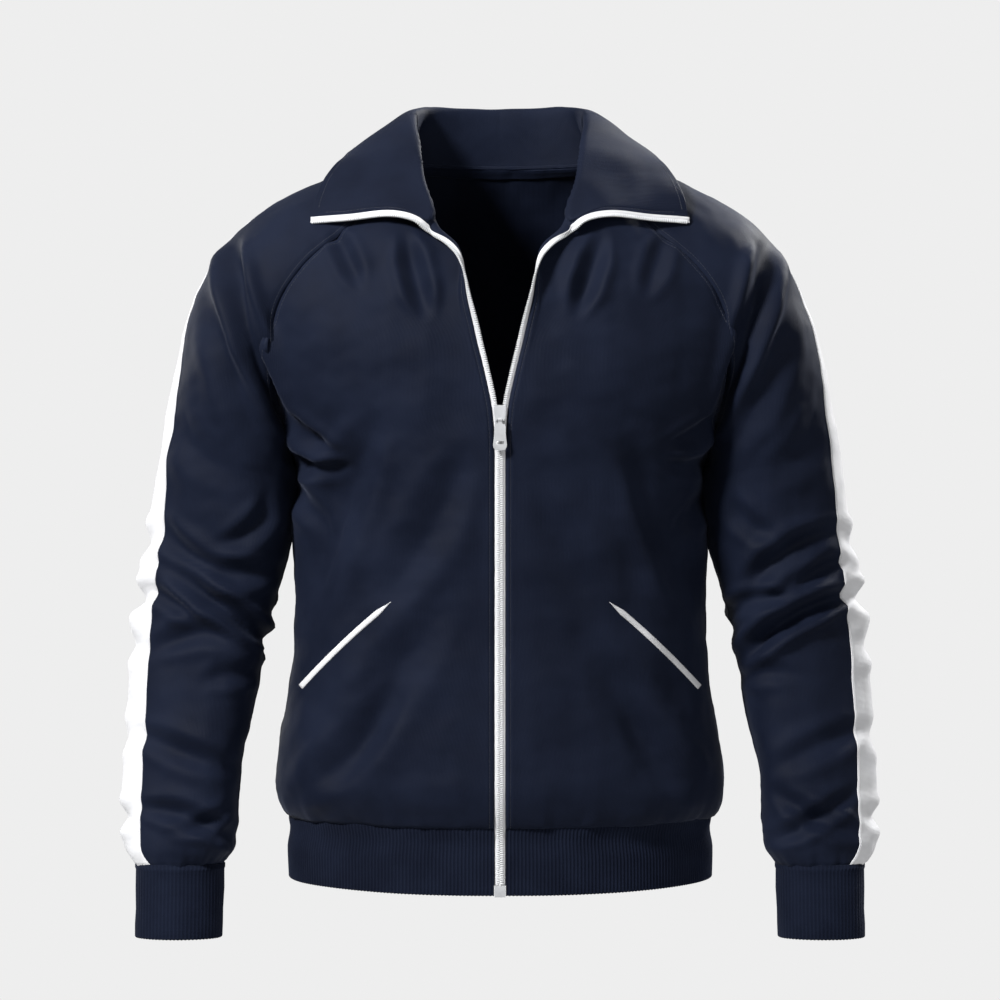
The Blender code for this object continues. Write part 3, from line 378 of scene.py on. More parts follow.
def lower_row(height):
    half, front, back, square, dip = (
        float(hermite(BODY["height"], BODY[column], height)[0])
        for column in ("half_width", "front", "back", "square", "dip")
    )
    fold = np.array([FRONT_EDGE["beyond"][0], -front, height])
    side = np.array([half, 0.0, height + dip])
    centre = np.array([0.0, back, height])
    forwards = (fold, fold + square * (half - fold[0]) * ACROSS, side - square * front * DEEP, side)
    backwards = (side, side + square * back * DEEP, centre + square * half * ACROSS, centre)
    return forwards, backwards


def upper_front(row):
    fold = point_of(FRONT_EDGE, row, "fold_x fold_y fold_z")
    fold[0] = max(fold[0], read(FRONT_EDGE, "beyond", row))
    seam = point_of(RAGLAN_FRONT, row)
    swing = math.radians(read(RAGLAN_FRONT, "body_swing", row))
    lean = unit(seam - fold)
    share = min(1.0, max(0.0, (row - 4) / 4))
    away = unit((1 - share) * ACROSS + share * lean)
    inwards = -math.cos(swing) * DEEP - math.sin(swing) * lean
    return (
        fold,
        fold + read(FRONT_EDGE, "reach", row) * away,
        seam + read(RAGLAN_FRONT, "body_reach", row) * inwards,
        seam,
    )


def upper_back(row):
    seam = point_of(RAGLAN_BACK, row)
    centre = np.array([0.0, read(BACK_CENTRE, "y", row), read(BACK_CENTRE, "z", row)])
    swing = math.radians(read(RAGLAN_BACK, "body_swing", row))
    inwards = unit((centre - seam) * [1, 0, 1])
    handle = math.cos(swing) * DEEP + math.sin(swing) * inwards
    return (
        seam,
        seam + read(RAGLAN_BACK, "body_reach", row) * handle,
        centre + [read(BACK_CENTRE, "reach", row), 0, 0],
        centre,
    )


def joined_controls(low_keys, low, high_keys, high, at, seam_corner):
    """Corners of each row's curve. They pass smoothly from the lower rows to the upper ones, which
    start at key 0, apart from the corner on the seam, which may turn there."""
    keys = np.concatenate([low_keys[:-1], high_keys])
    rows = hermite(keys, np.concatenate([low[:-1], high]), at)
    below = hermite(low_keys, low[:, seam_corner], np.minimum(at, 0))
    above = hermite(high_keys, high[:, seam_corner], np.maximum(at, 0))
    rows[:, seam_corner] = np.where((at < 0)[:, None], below, above)
    return rows


def body_controls(at):
    """Front and back corners at levels: 0 is the armpit, 8 the neck, and one level is a row height."""
    low = [lower_row(height) for height in BODY["height"]]
    high = [(upper_front(row), upper_back(row)) for row in range(NECK_ROW + 1)]
    low_keys = (BODY["height"] - BODY["height"][-1]) / ROW_HEIGHT
    high_keys = np.arange(NECK_ROW + 1.0)
    sides = []
    for side, seam_corner in ((0, 3), (1, 0)):
        lower = np.array([row[side] for row in low])
        upper = np.array([row[side] for row in high])
        sides.append(joined_controls(low_keys, lower, high_keys, upper, at, seam_corner))
    sides[0][:, 0, 0] = np.maximum(sides[0][:, 0, 0], FRONT_EDGE["beyond"][0])
    return sides


def turned_edge(level, curve, distances):
    """Points beyond the folding line of the front, which turns back towards the neck."""
    row, step = max(0.0, level), 0.02
    angle = math.radians(max(0.0, read(FRONT_EDGE, "turned", row)))
    axis = UP
    if level > 0:
        columns = "fold_x fold_y fold_z"
        above = point_of(FRONT_EDGE, min(NECK_ROW, row + step), columns)
        axis = unit(above - point_of(FRONT_EDGE, max(0, row - step), columns))
    start = curve[0]
    inwards = -unit(bezier(curve, 0.02) - start)
    rising = float(inwards @ axis) * axis
    size = float(np.linalg.norm(inwards - rising))
    across = (inwards - rising) / size
    lift = np.cross(axis, across)
    points = []
    for distance in distances:
        turn = min(angle, distance * size / ROLL_RADIUS)
        rest = distance * size - ROLL_RADIUS * turn
        offset = ROLL_RADIUS * (across * math.sin(turn) + lift * (1 - math.cos(turn)))
        offset = offset + rest * (across * math.cos(turn) + lift * math.sin(turn))
        points.append(start + offset + rising * distance)
    return np.array(points)


def beyond_fold(level):
    return read(FRONT_EDGE, "beyond", max(0.0, level))


def upper_levels():
    """Levels from the armpit to the neck, closer together beside the neck seam."""
    length = NECK_ROW * ROW_HEIGHT * 1.15
    return spaced(length, UPPER_ROWS, far=SEAM_STEPS) / length * NECK_ROW


def lower_levels():
    """Levels from the waist seam to just under the armpit."""
    length = BODY["height"][-1] - WAIST_SEAM
    return (spaced(length, LOWER_ROWS, near=SEAM_STEPS)[:-1] - length) / ROW_HEIGHT


def body_grids(levels):
    """The left front and the whole back, as rows of points from the waist to the neck."""
    fronts, backs = body_controls(levels)
    front_rows, back_rows = [], []
    for level, front, back in zip(levels, fronts, backs):
        edge = beyond_fold(level) - TAPE_WIDTH - SEAM_GAP
        shares = np.linspace(1, 0, FLAP_COLUMNS + 1)[:-1]
        flap = turned_edge(level, front, edge * shares)
        curve = bezier(front, np.linspace(0, 1, SMOOTH))
        places = spaced(lengths(curve)[-1], FRONT_COLUMNS, far=SEAM_STEPS)
        front_rows.append(np.concatenate([flap, along(curve, places)]))
        curve = bezier(back, np.linspace(0, 1, SMOOTH))
        half = along(curve, spaced(lengths(curve)[-1], BACK_COLUMNS, near=SEAM_STEPS))
        back_rows.append(np.concatenate([half, mirrored(half[-2::-1])]))
    return np.array(front_rows), np.array(back_rows)


def half_arc(crown, seam, side, swing, seam_reach, crown_reach):
    outwards = unit((crown - seam) * [1, 0, 1])
    forwards = side * DEEP
    handle = math.cos(swing) * forwards + math.sin(swing) * outwards
    return crown, crown + crown_reach * forwards, seam + seam_reach * handle, seam


def raglan_arcs(row):
    arcs = []
    for seam, side in ((RAGLAN_FRONT, -1), (RAGLAN_BACK, 1)):
        swing = math.radians(read(seam, "sleeve_swing", row))
        reaches = [read(seam, column, row) for column in ("sleeve_reach", "crown_reach")]
        arcs.append(half_arc(point_of(CROWN, row), point_of(seam, row), side, swing, *reaches))
    return arcs


def arm_arcs(row):
    outer = point_of(ARM, row, "outer_x y outer_z")
    inner = point_of(ARM, row, "inner_x y inner_z")
    reaches = [HALF_OVAL * read(ARM, side, row) for side in ("depth_front", "depth_back")]
    share = read(ARM, "crown_share", row)
    fill = 1 + SEAM_FILL * (1 - share)
    return [half_arc(outer, inner, side, 0.0, fill * r, share * r) for side, r in zip((-1, 1), reaches)]


def sleeve_arcs(at):
    """Front and back half arcs at levels: 8 is the neck, 0 the armpit, and below 0 the arm."""
    arm = np.array([arm_arcs(row) for row in range(CUFF_SEAM_ROW + 1)])[::-1]
    raglan = np.array([raglan_arcs(row) for row in range(NECK_ROW + 1)])
    low_keys = -ARM_KEY * np.arange(CUFF_SEAM_ROW + 1.0)[::-1]
    high_keys = np.arange(NECK_ROW + 1.0)
    return [
        joined_controls(low_keys, arm[:, side], high_keys, raglan[:, side], at, 3)
        for side in (0, 1)
    ]


def arc_points(curve, band):
    line = bezier(curve, np.linspace(0, 1, SMOOTH))
    rest = spaced(lengths(line)[-1] - band, SIDE_COLUMNS, far=SEAM_STEPS)
    places = np.concatenate([np.linspace(0, band, BAND_COLUMNS + 1)[:-1], band + rest])
    return along(line, places)


def sleeve_grid(levels):
    """The left sleeve, as rows of points from the neck to the cuff, front seam to back seam."""
    rows = []
    for level, front, back in zip(levels, *sleeve_arcs(levels)):
        band = read(CROWN, "band", max(0.0, level))
        to_front, to_back = arc_points(front, band), arc_points(back, BAND_WIDTH - band)
        rows.append(np.concatenate([to_front[::-1], to_back[1:]]))
    return np.array(rows)


def sleeve_levels():
    length = -ARM["outer_z"][CUFF_SEAM_ROW] + ARM["outer_z"][0]
    lower = spaced(length, ARM_ROWS, far=SEAM_STEPS)[1:] / length * ARM_KEY * CUFF_SEAM_ROW
    return np.concatenate([upper_levels()[::-1], -lower])


def mirrored(points):
    return points * np.array([-1.0, 1.0, 1.0])


def collar_rib(neck, place):
    """One rib of the collar, from the neck seam over the roll to the outer edge."""
    roll, edge = (
        np.array([float(hermite(COLLAR["place"], COLLAR[f"{part}_{c}"], place)[0]) for c in "xyz"])
        for part in ("roll", "edge")
    )
    stand = float(np.linalg.norm(roll - neck))
    fall = edge - roll
    standing = min(1.0, stand / FULL_STAND)
    outwards = unit(fall * [1, 1, 0])
    crest = CREST * standing * outwards
    up = np.array([0.0, 0.0, 0.4 * stand * standing])
    rise = (neck, neck + up, roll - crest - 0.3 * (1 - standing) * (roll - neck), roll)
    drop = (
        roll,
        roll + crest + 0.12 * float(np.linalg.norm(fall)) * outwards,
        edge - 0.35 * fall + [0, 0, FALL_CROWN],
        edge,
    )
    u = np.linspace(0, 1, SMOOTH)
    line = np.concatenate([bezier(rise, u), bezier(drop, u)[1:]])
    return along(line, spaced(lengths(line)[-1], COLLAR_ROWS, near=SEAM_STEPS, far=SEAM_STEPS))


def collar_grid(back, sleeve, front):
    """The whole collar, from the left zip round the back to the right one; columns run outwards."""
    columns = (BACK_COLUMNS, sleeve.shape[1] - 1, FRONT_COLUMNS, FLAP_COLUMNS)
    parts = [np.linspace(k, k + 1, count + 1)[1:] for k, count in enumerate(columns)]
    places = np.concatenate([[0.0], *parts])
    neck = np.concatenate([back[-1][BACK_COLUMNS::-1], sleeve[0][-2::-1], front[-1][-2::-1]])
    half = np.array([collar_rib(point, place) for point, place in zip(neck, places)])
    return np.concatenate([half[:0:-1], mirrored(half)])


# ---- folds, seams and gathers ------------------------------------------------------------------


def fold_field(places, folds, names):
    """How far the folds move cloth in or out, at places seen from one side."""
    total = np.zeros(len(places))
    t = np.linspace(0, 1, 15)[:, None]
    for k in range(len(folds["depth"])):
        p0, p1, p2 = (np.array([folds[f"{name}{i}"][k] for name in names]) for i in range(3))
        middle = 2 * p1 - 0.5 * (p0 + p2)
        line = (1 - t) ** 2 * p0 + 2 * t * (1 - t) * middle + t * t * p2
        width, depth = folds["width"][k], folds["depth"][k]
        reach = 4 * width
        low, high = line.min(axis=0) - reach, line.max(axis=0) + reach
        near = np.flatnonzero(((places > low) & (places < high)).all(axis=1))
        if not len(near):
            continue
        spot = places[near]
        best = np.full(len(near), np.inf)
        at = np.zeros(len(near))
        for i in range(len(line) - 1):
            run = line[i + 1] - line[i]
            share = ((spot - line[i]) @ run) / (run @ run)
            if 0 < i:
                share = np.maximum(share, 0)
            if i < len(line) - 2:
                share = np.minimum(share, 1)
            apart = np.linalg.norm(spot - line[i] - share[:, None] * run, axis=1)
            closer = apart < best
            best = np.where(closer, apart, best)
            at = np.where(closer, (i + share) / (len(line) - 1), at)
        taper = ease(-0.12, 0.35, at) * ease(1.12, 0.65, at)
        wide = width * (0.65 + 0.5 * taper)
        s = best / wide
        trough = -np.exp(-(s**1.6))
        ridge = folds["ridge"][k] * np.exp(-(((s - 1.75) / 0.75) ** 2))
        total[near] += depth * taper * (trough + ridge)
    return total


def uneven(points, size, seed):
    """Soft bumps about this size, from crossed waves: -1 to 1."""
    total = np.zeros(len(points))
    turn = np.array([[0.36, 0.48, -0.80], [-0.80, 0.60, 0.0], [0.48, 0.64, 0.60]])
    spot = points / size
    for k in range(4):
        spot = spot @ turn * 1.31 + seed
        total += np.sin(2.1 * spot[:, 0] + 1.3 * np.sin(1.7 * spot[:, 1])) * np.cos(1.9 * spot[:, 2])
    return total / 2.6


class Panel:
    """A cut piece: a grid of points, the distance of each from its four edges, and its normals."""

    def __init__(self, grid, flipped=False, seams="left right bottom top"):
        self.base = grid
        self.flipped = flipped
        self.seams = seams.split()
        self.normals = self.own_normals(grid)
        across = np.linalg.norm(np.diff(grid, axis=1), axis=2)
        up = np.linalg.norm(np.diff(grid, axis=0), axis=2)
        left = np.concatenate([np.zeros((len(grid), 1)), np.cumsum(across, axis=1)], axis=1)
        bottom = np.concatenate([np.zeros((1, grid.shape[1])), np.cumsum(up, axis=0)], axis=0)
        self.distance = {
            "left": left,
            "right": left[:, -1:] - left,
            "bottom": bottom,
            "top": bottom[-1:] - bottom,
        }
        self.points = grid.copy()

    def own_normals(self, grid):
        normal = unit(np.cross(np.gradient(grid, axis=1), np.gradient(grid, axis=0)))
        return -normal if self.flipped else normal

    def mirror(self):
        other = Panel(mirrored(self.base), not self.flipped, " ".join(self.seams))
        other.normals = mirrored(self.normals)
        return other

    def nearest_seam(self):
        return np.min([self.distance[name] for name in self.seams], axis=0)

    def move(self, amounts):
        self.points = self.base + self.normals * amounts[..., None]
        self.turned = self.own_normals(self.points)


def share_normals(panels):
    """Gives panels that meet at a seam the same normals there, so that they move together."""
    total, rims = {}, []
    for panel in panels:
        normals = panel.normals.reshape(-1, 3)
        edge = np.zeros(panel.base.shape[:2], bool)
        edge[[0, -1], :] = edge[:, [0, -1]] = True
        places = np.round(panel.base.reshape(-1, 3), 6)
        for i in np.flatnonzero(edge.ravel()):
            rims.append((normals, i, tuple(places[i])))
    for normals, i, place in rims:
        total[place] = total.get(place, 0) + normals[i]
    for normals, i, place in rims:
        normals[i] = unit(total[place])


BODY_GAIN = 3.2          # the folds as drawn, times this
SLEEVE_GAIN = 2.0


def relief(panel, sleeve=False):
    """How far each point of a body panel stands in or out of the plain form."""
    points = panel.base.reshape(-1, 3)
    normals = panel.normals.reshape(-1, 3)
    facing = ease(0.30, -0.30, normals[:, 1])
    total = facing * fold_field(points[:, [0, 2]], FRONT_FOLDS, "xz")
    total += (1 - facing) * fold_field(points[:, [0, 2]], BACK_FOLDS, "xz")
    if sleeve:
        outwards = ease(0.55, 0.95, np.abs(normals[:, 0]) * np.sign(points[:, 0] * normals[:, 0]))
        outwards *= np.abs(points[:, 0]) > 0.29
        total = total * (1 - 0.6 * outwards)
        total += outwards * fold_field(points[:, [1, 2]], SIDE_FOLDS, "yz")
    total *= SLEEVE_GAIN if sleeve else BODY_GAIN
    total += 0.0018 * uneven(points, 0.066, 1.7) + 0.0005 * uneven(points, 0.024, 4.1)
    return total.reshape(panel.base.shape[:2])


STITCH_PLACE = 0.0040    # from a seam to the stitching beside it


def groove(panel):
    """The seams and the stitched lines beside them sink, and the cloth between puckers a little."""
    d = panel.nearest_seam()
    points = panel.base.reshape(-1, 3)
    pucker = uneven(points, 0.0060, 2.3).reshape(d.shape)
    sunk = -0.0010 * np.exp(-((d / 0.0016) ** 2))
    stitched = -0.0006 * np.exp(-(((d - STITCH_PLACE) / 0.0008) ** 2))
    raised = 0.0004 * np.exp(-(((d - 0.0050) / 0.0040) ** 2))
    return sunk + stitched + raised + 0.00028 * pucker * np.exp(-((d / 0.010) ** 2))


def gathers(turn, above, height, depth, waves):
    """Small upright folds where cloth is drawn into a rib: turn is the distance round, in metres."""
    total = np.zeros_like(turn)
    for k, (length, share) in enumerate(waves):
        total += share * np.sin(2 * math.pi * turn / length + 1.9 * k + 1.2 * np.sin(turn / 0.043 + k))
    return depth * total * np.exp(-above / height) * ease(-0.002, 0.006, above)


# Gathers at the waist and the cuffs: how far apart they are, and their share of the depth
WAIST_WAVES = ((0.0230, 0.60), (0.0145, 0.45), (0.0510, 0.50), (0.0094, 0.20))
CUFF_WAVES = ((0.0260, 0.60), (0.0155, 0.50), (0.0430, 0.40))


def shape_body(panel, zip_edge=None):
    turn = 0.16 * np.arctan2(panel.base[..., 1], panel.base[..., 0])
    above = panel.distance["bottom"]
    amounts = relief(panel) + gathers(turn, above, 0.016, 0.0011, WAIST_WAVES)
    if zip_edge:
        amounts = amounts * ease(0.004, 0.030, panel.distance[zip_edge])
    panel.move(amounts + groove(panel))


def shape_sleeve(panel):
    middle = panel.base.mean(axis=1, keepdims=True)
    offset = panel.base - middle
    turn = 0.055 * np.arctan2(offset[..., 1], offset[..., 0])
    amounts = relief(panel, sleeve=True)
    amounts += gathers(turn, panel.distance["top"], 0.013, 0.0014, CUFF_WAVES)
    panel.move(amounts + groove(panel))


COLLAR_STITCH = 0.0052   # from the collar's edges to their stitching


def shape_collar(panel):
    """Soft waves that fade at the neck seam, and a raised line beside the stitched outer edges."""
    waves = 0.0010 * uneven(panel.base.reshape(-1, 3), 0.055, 3.1).reshape(panel.base.shape[:2])
    free = ease(0.0, 0.035, panel.distance["left"])
    hem = np.min([panel.distance[edge] for edge in ("right", "bottom", "top")], axis=0)
    raised = 0.0008 * np.exp(-(((hem - COLLAR_STITCH) / 0.0009) ** 2))
    panel.move(waves * free + groove(panel) * 0.6 + raised)


# ---- meshes ------------------------------------------------------------------------------------


def add_object(name, mesh):
    obj = bpy.data.objects.new(name, mesh)
    bpy.context.scene.collection.objects.link(obj)
    return obj


def new_mesh(name, points, faces, uv=None, wear_and_painted_light=None):
    """A mesh with UVs and a value given for each point, which the materials use for wear and painted
    light.
    """
    mesh = bpy.data.meshes.new(name)
    mesh.from_pydata(points.reshape(-1, 3).tolist(), [], faces)
    if uv is not None:
        corners = np.empty(len(mesh.loops), np.int32)
        mesh.loops.foreach_get("vertex_index", corners)
        layer = mesh.uv_layers.new(name="UVMap")
        layer.data.foreach_set("uv", uv.reshape(-1, 2)[corners].ravel().astype(np.float32))
    if wear_and_painted_light is not None:
        layer = mesh.attributes.new("wear_and_painted_light", "FLOAT", "POINT")
        layer.data.foreach_set("value", wear_and_painted_light.ravel().astype(np.float32))
    return mesh


def quads(number):
    """Faces between neighbours in a grid of point numbers."""
    faces = [number[:-1, :-1], number[:-1, 1:], number[1:, 1:], number[1:, :-1]]
    return np.stack(faces, axis=-1).reshape(-1, 4)


def numbered(shape):
    return np.arange(shape[0] * shape[1]).reshape(shape[:2])


def grid_object(name, points, flipped, thickness, uv, wear_and_painted_light=None):
    """A mesh from a grid of points, with lengths in metres as its UVs, thickened inwards."""
    faces = quads(numbered(points.shape))
    faces = faces[:, ::-1] if flipped else faces
    mesh = new_mesh(name, points, faces.tolist(), uv, wear_and_painted_light)
    mesh.validate()
    obj = add_object(name, mesh)
    wall = obj.modifiers.new("thickness", "SOLIDIFY")
    wall.thickness, wall.offset = thickness, -1
    apply_modifiers(obj)
    obj.data.shade_smooth()
    return obj


def apply_modifiers(obj):
    graph = bpy.context.evaluated_depsgraph_get()
    mesh = bpy.data.meshes.new_from_object(obj.evaluated_get(graph))
    obj.modifiers.clear()
    obj.data = mesh


def panel_object(name, panel, thickness):
    left = panel.distance["left"]
    uv = np.stack([left - 0.5 * left[:, -1:], panel.distance["bottom"]], axis=-1)
    # Near the seams the material lightens the cloth, partly as wear and partly as a painted sheen where
    # the seams are pressed.
    wear_and_painted_light = np.exp(-((panel.nearest_seam() / 0.004) ** 2))
    return grid_object(name, panel.points, panel.flipped, thickness, uv, wear_and_painted_light)


def joined(name, blocks):
    """One mesh from many small ones, each given as points and faces."""
    points, faces, start = [], [], 0
    for some_points, some_faces in blocks:
        points.append(some_points)
        faces.extend([tuple(int(v) + start for v in face) for face in some_faces])
        start += len(some_points)
    mesh = new_mesh(name, np.concatenate(points), faces)
    mesh.shade_smooth()
    turn_out(mesh)
    return add_object(name, mesh)


def turn_out(mesh):
    """Turns every face of closed pieces outwards."""
    shape = bmesh.new()
    shape.from_mesh(mesh)
    bmesh.ops.recalc_face_normals(shape, faces=shape.faces[:])
    shape.to_mesh(mesh)
    shape.free()


def rod_faces(rings, sides):
    """Faces of a closed rod: between its rings of points, and over its two ends."""
    faces = []
    for r in range(rings - 1):
        for a in range(sides):
            b = (a + 1) % sides
            faces.append((r * sides + a, r * sides + b, (r + 1) * sides + b, (r + 1) * sides + a))
    last = (rings - 1) * sides
    return [*faces, tuple(range(sides))[::-1], tuple(range(last, last + sides))]


# A stitch's rings: place along it and size, as shares of its length and radius
STITCH_SIDES = 5
STITCH_RINGS = ((-0.50, 0.25), (-0.36, 0.85), (0.0, 1.0), (0.36, 0.85), (0.50, 0.25))


def stitch_line(path, normals, length=0.0026, gap=0.0007, radius=0.00024, lift=0.00012):
    """Stitches along a path, as points and faces of small rounded rods."""
    run = lengths(path)
    count = int(run[-1] / (length + gap))
    blocks = []
    angles = 2 * math.pi * np.arange(STITCH_SIDES) / STITCH_SIDES
    faces = rod_faces(len(STITCH_RINGS), STITCH_SIDES)
    for k in range(count):
        middle = (k + 0.5) * (length + gap)
        ends = along(path, [middle - length / 2, middle + length / 2])
        direction = unit(ends[1] - ends[0])
        i = min(len(normals) - 1, int(np.searchsorted(run, middle)))
        up = unit(normals[i] - (normals[i] @ direction) * direction)
        side = np.cross(direction, up)
        centre = (ends[0] + ends[1]) / 2 + up * lift
        rings = [
            centre + direction * share * length
            + radius * size * (np.cos(angles)[:, None] * side + 0.75 * np.sin(angles)[:, None] * up)
            for share, size in STITCH_RINGS
        ]
        blocks.append((np.concatenate(rings), faces))
    return blocks


def line_at(panel, edge, distance, rows=slice(None)):
    """The path on a panel at a distance from one of its edges, with the normals there."""
    span = panel.distance[edge]
    points, normals = panel.points, panel.turned
    if edge in ("bottom", "top"):
        span, points, normals = span.T, points.transpose(1, 0, 2), normals.transpose(1, 0, 2)
    backwards = edge in ("right", "top")
    path, ups = [], []
    for row in range(len(span))[rows]:
        d, p, n = span[row], points[row], normals[row]
        if backwards:
            d, p, n = d[::-1], p[::-1], n[::-1]
        path.append([np.interp(distance, d, p[:, k]) for k in range(3)])
        ups.append([np.interp(distance, d, n[:, k]) for k in range(3)])
    return np.array(path), unit(np.array(ups))


# ---- materials ---------------------------------------------------------------------------------


class Shader:
    """A Principled material with short ways to add the nodes that these cloths share."""

    def __init__(self, name, colour, roughness, metallic=0.0, **constants):
        self.material = bpy.data.materials.new(name)
        self.material.use_nodes = True
        self.tree = self.material.node_tree
        self.main = self.tree.nodes["Principled BSDF"]
        self.main.inputs["Base Color"].default_value = (*colour, 1)
        self.main.inputs["Roughness"].default_value = roughness
        self.main.inputs["Metallic"].default_value = metallic
        for socket, value in constants.items():
            self.main.inputs[socket.replace("_", " ")].default_value = value
        self.coordinates = self.add("ShaderNodeTexCoord")

    def add(self, kind, inputs=(), **settings):
        node = self.tree.nodes.new(kind)
        for key, value in settings.items():
            setattr(node, key, value)
        for socket, value in dict(inputs).items():
            if isinstance(value, bpy.types.NodeSocket):
                self.tree.links.new(value, node.inputs[socket])
            else:
                node.inputs[socket].default_value = value
        return node

    def wave(self, period, direction, distortion=0.0):
        """Ridges this far apart, in metres, across the U or V of the panel."""
        node = self.add(
            "ShaderNodeTexWave",
            {"Vector": self.coordinates.outputs["UV"], "Scale": math.pi / (10 * period),
             "Distortion": distortion, "Detail": 1.0, "Detail Scale": 1.0},
            bands_direction=direction,
        )
        return node.outputs["Fac"]

    def noise(self, size, detail=2.0, source="Object"):
        vector = self.coordinates.outputs[source]
        node = self.add("ShaderNodeTexNoise", {"Vector": vector, "Scale": 1 / size, "Detail": detail})
        return node.outputs["Fac"]

    def plus(self, a, b, share=None):
        """a plus b, or a plus a share of b."""
        if share is not None:
            b = self.add("ShaderNodeMath", {0: b, 1: share}, operation="MULTIPLY").outputs[0]
        return self.add("ShaderNodeMath", {0: a, 1: b}, operation="ADD").outputs[0]

    def ramp(self, value, low, high, a, b):
        node = self.add(
            "ShaderNodeMapRange",
            {"Value": value, "From Min": low, "From Max": high, "To Min": a, "To Max": b},
        )
        return node.outputs["Result"]

    def mix(self, share, a, b):
        node = self.add("ShaderNodeMix", data_type="RGBA")
        for socket, value in ((0, share), (6, a), (7, b)):
            if isinstance(value, bpy.types.NodeSocket):
                self.tree.links.new(value, node.inputs[socket])
            else:
                node.inputs[socket].default_value = value if socket == 0 else (*value, 1)
        return node.outputs[2]

    # The per-point value from the mesh. On the cut pieces it is wear plus a painted sheen near the
    # seams. On the ribs it is the ridge height, for painted shade in the valleys.
    def wear_and_painted_light(self):
        return self.add("ShaderNodeAttribute", attribute_name="wear_and_painted_light").outputs["Fac"]

    def link(self, value, socket):
        self.tree.links.new(value, self.main.inputs[socket])

    def finish(self, share, first, second, height, distance):
        """Mixes the colour, adds the bump, and gives the material."""
        self.link(self.mix(share, first, second), "Base Color")
        inputs = {"Height": height, "Distance": distance, "Strength": 1.0}
        self.link(self.add("ShaderNodeBump", inputs).outputs["Normal"], "Normal")
        return self.material


SHEEN_BLUE = (0.62, 0.70, 1.0, 1)


def knit(name, dark, light, wale, course, depth, roughness=0.62):
    """A fine warp knit: wales up the panel, courses across it, and a soft nap that catches light."""
    shader = Shader(
        name, dark, roughness, Sheen_Weight=0.05, Sheen_Roughness=0.42, Specular_IOR_Level=0.06
    )
    shader.main.inputs["Sheen Tint"].default_value = SHEEN_BLUE
    loops = shader.plus(shader.wave(wale, "X", 0.6), shader.wave(course, "Y", 0.8), 0.45)
    height = shader.plus(loops, shader.noise(0.0007, 3.0), 0.6)
    patches = shader.noise(0.055, 4.0)
    # Tone: random patches, and painted shade that darkens the knit's valleys and lightens the tops of
    # its loops.
    tone = shader.plus(
        shader.ramp(patches, 0.35, 0.65, 0.0, 0.55), shader.ramp(loops, 0.2, 1.3, 0.0, 0.30)
    )
    # Lighter near the seams: partly wear, and partly a painted sheen where the seams are pressed.
    tone = shader.plus(tone, shader.wear_and_painted_light(), 0.28)
    rough = shader.ramp(patches, 0.3, 0.7, roughness - 0.06, roughness + 0.06)
    shader.link(rough, "Roughness")
    return shader.finish(tone, dark, light, height, depth)


def ribbed(name, dark, light):
    """The rib's own ridges are in its mesh. This adds the knit on them and paints shade into the
    valleys, with the crests lighter.
    """
    shader = Shader(
        name, dark, 0.80, Sheen_Weight=0.04, Sheen_Roughness=0.5, Specular_IOR_Level=0.05
    )
    shader.main.inputs["Sheen Tint"].default_value = SHEEN_BLUE
    height = shader.plus(shader.noise(0.0008, 3.0), shader.wave(0.0012, "Y", 0.8), 0.7)
    patches = shader.ramp(shader.noise(0.04, 3.0), 0.35, 0.65, 0.0, 0.5)
    # Colour: random patches, and painted shade from the ridge height that the rib carries, darker in
    # its valleys and lighter on its crests.
    return shader.finish(shader.plus(patches, shader.wear_and_painted_light(), 0.5), dark, light, height, 0.00016)


def white_cloth(name, shade, light, twill=0.0011):
    """Close white knit or tape: fine crosswise lines, and a little painted shade that greys the dips.
    """
    shader = Shader(
        name, light, 0.66, Sheen_Weight=0.15, Sheen_Roughness=0.5, Specular_IOR_Level=0.35
    )
    loops = shader.plus(shader.wave(twill, "Y", 0.5), shader.wave(0.9 * twill, "X", 0.5), 0.6)
    height = shader.plus(loops, shader.noise(0.0008, 3.0), 0.5)
    patches = shader.ramp(shader.noise(0.030, 3.0), 0.3, 0.7, 0.0, 0.35)
    # Tone: random grey patches, and painted shade that greys the dips between the weave's lines.
    tone = shader.plus(patches, shader.ramp(loops, 1.2, 0.1, 0.0, 0.35))
    return shader.finish(tone, light, shade, height, 0.00010)


def darker(colour, share):
    return [share * c for c in colour]


def thread(name, colour):
    """Sewing thread: a soft shine and a twist."""
    shader = Shader(name, colour, 0.48, Sheen_Weight=0.2, Specular_IOR_Level=0.4)
    twist = shader.noise(0.0004, 2.0)
    tone = shader.ramp(twist, 0.3, 0.7, 0, 1)
    return shader.finish(tone, colour, darker(colour, 0.8), twist, 0.00006)


def plastic(name, colour):
    """Moulded zip teeth: slightly glossy, with faint scuffs."""
    shader = Shader(name, colour, 0.38, Specular_IOR_Level=0.45)
    scuffs = shader.noise(0.0022, 4.0)
    shader.link(shader.ramp(scuffs, 0.35, 0.70, 0.30, 0.52), "Roughness")
    tone = shader.ramp(scuffs, 0.45, 0.75, 0, 0.5)
    return shader.finish(tone, colour, darker(colour, 0.88), scuffs, 0.00004)


def lacquered(name, colour):
    """White lacquer on die-cast metal: a thin gloss over faint casting ripples, duller in patches."""
    shader = Shader(name, colour, 0.32, Coat_Weight=0.35, Coat_Roughness=0.15)
    patches, grain = shader.noise(0.0050, 4.0), shader.noise(0.0009, 3.0)
    shader.link(shader.ramp(patches, 0.3, 0.7, 0.26, 0.44), "Roughness")
    tone = shader.ramp(patches, 0.45, 0.75, 0, 0.45)
    return shader.finish(tone, colour, darker(colour, 0.72), grain, 0.00003)


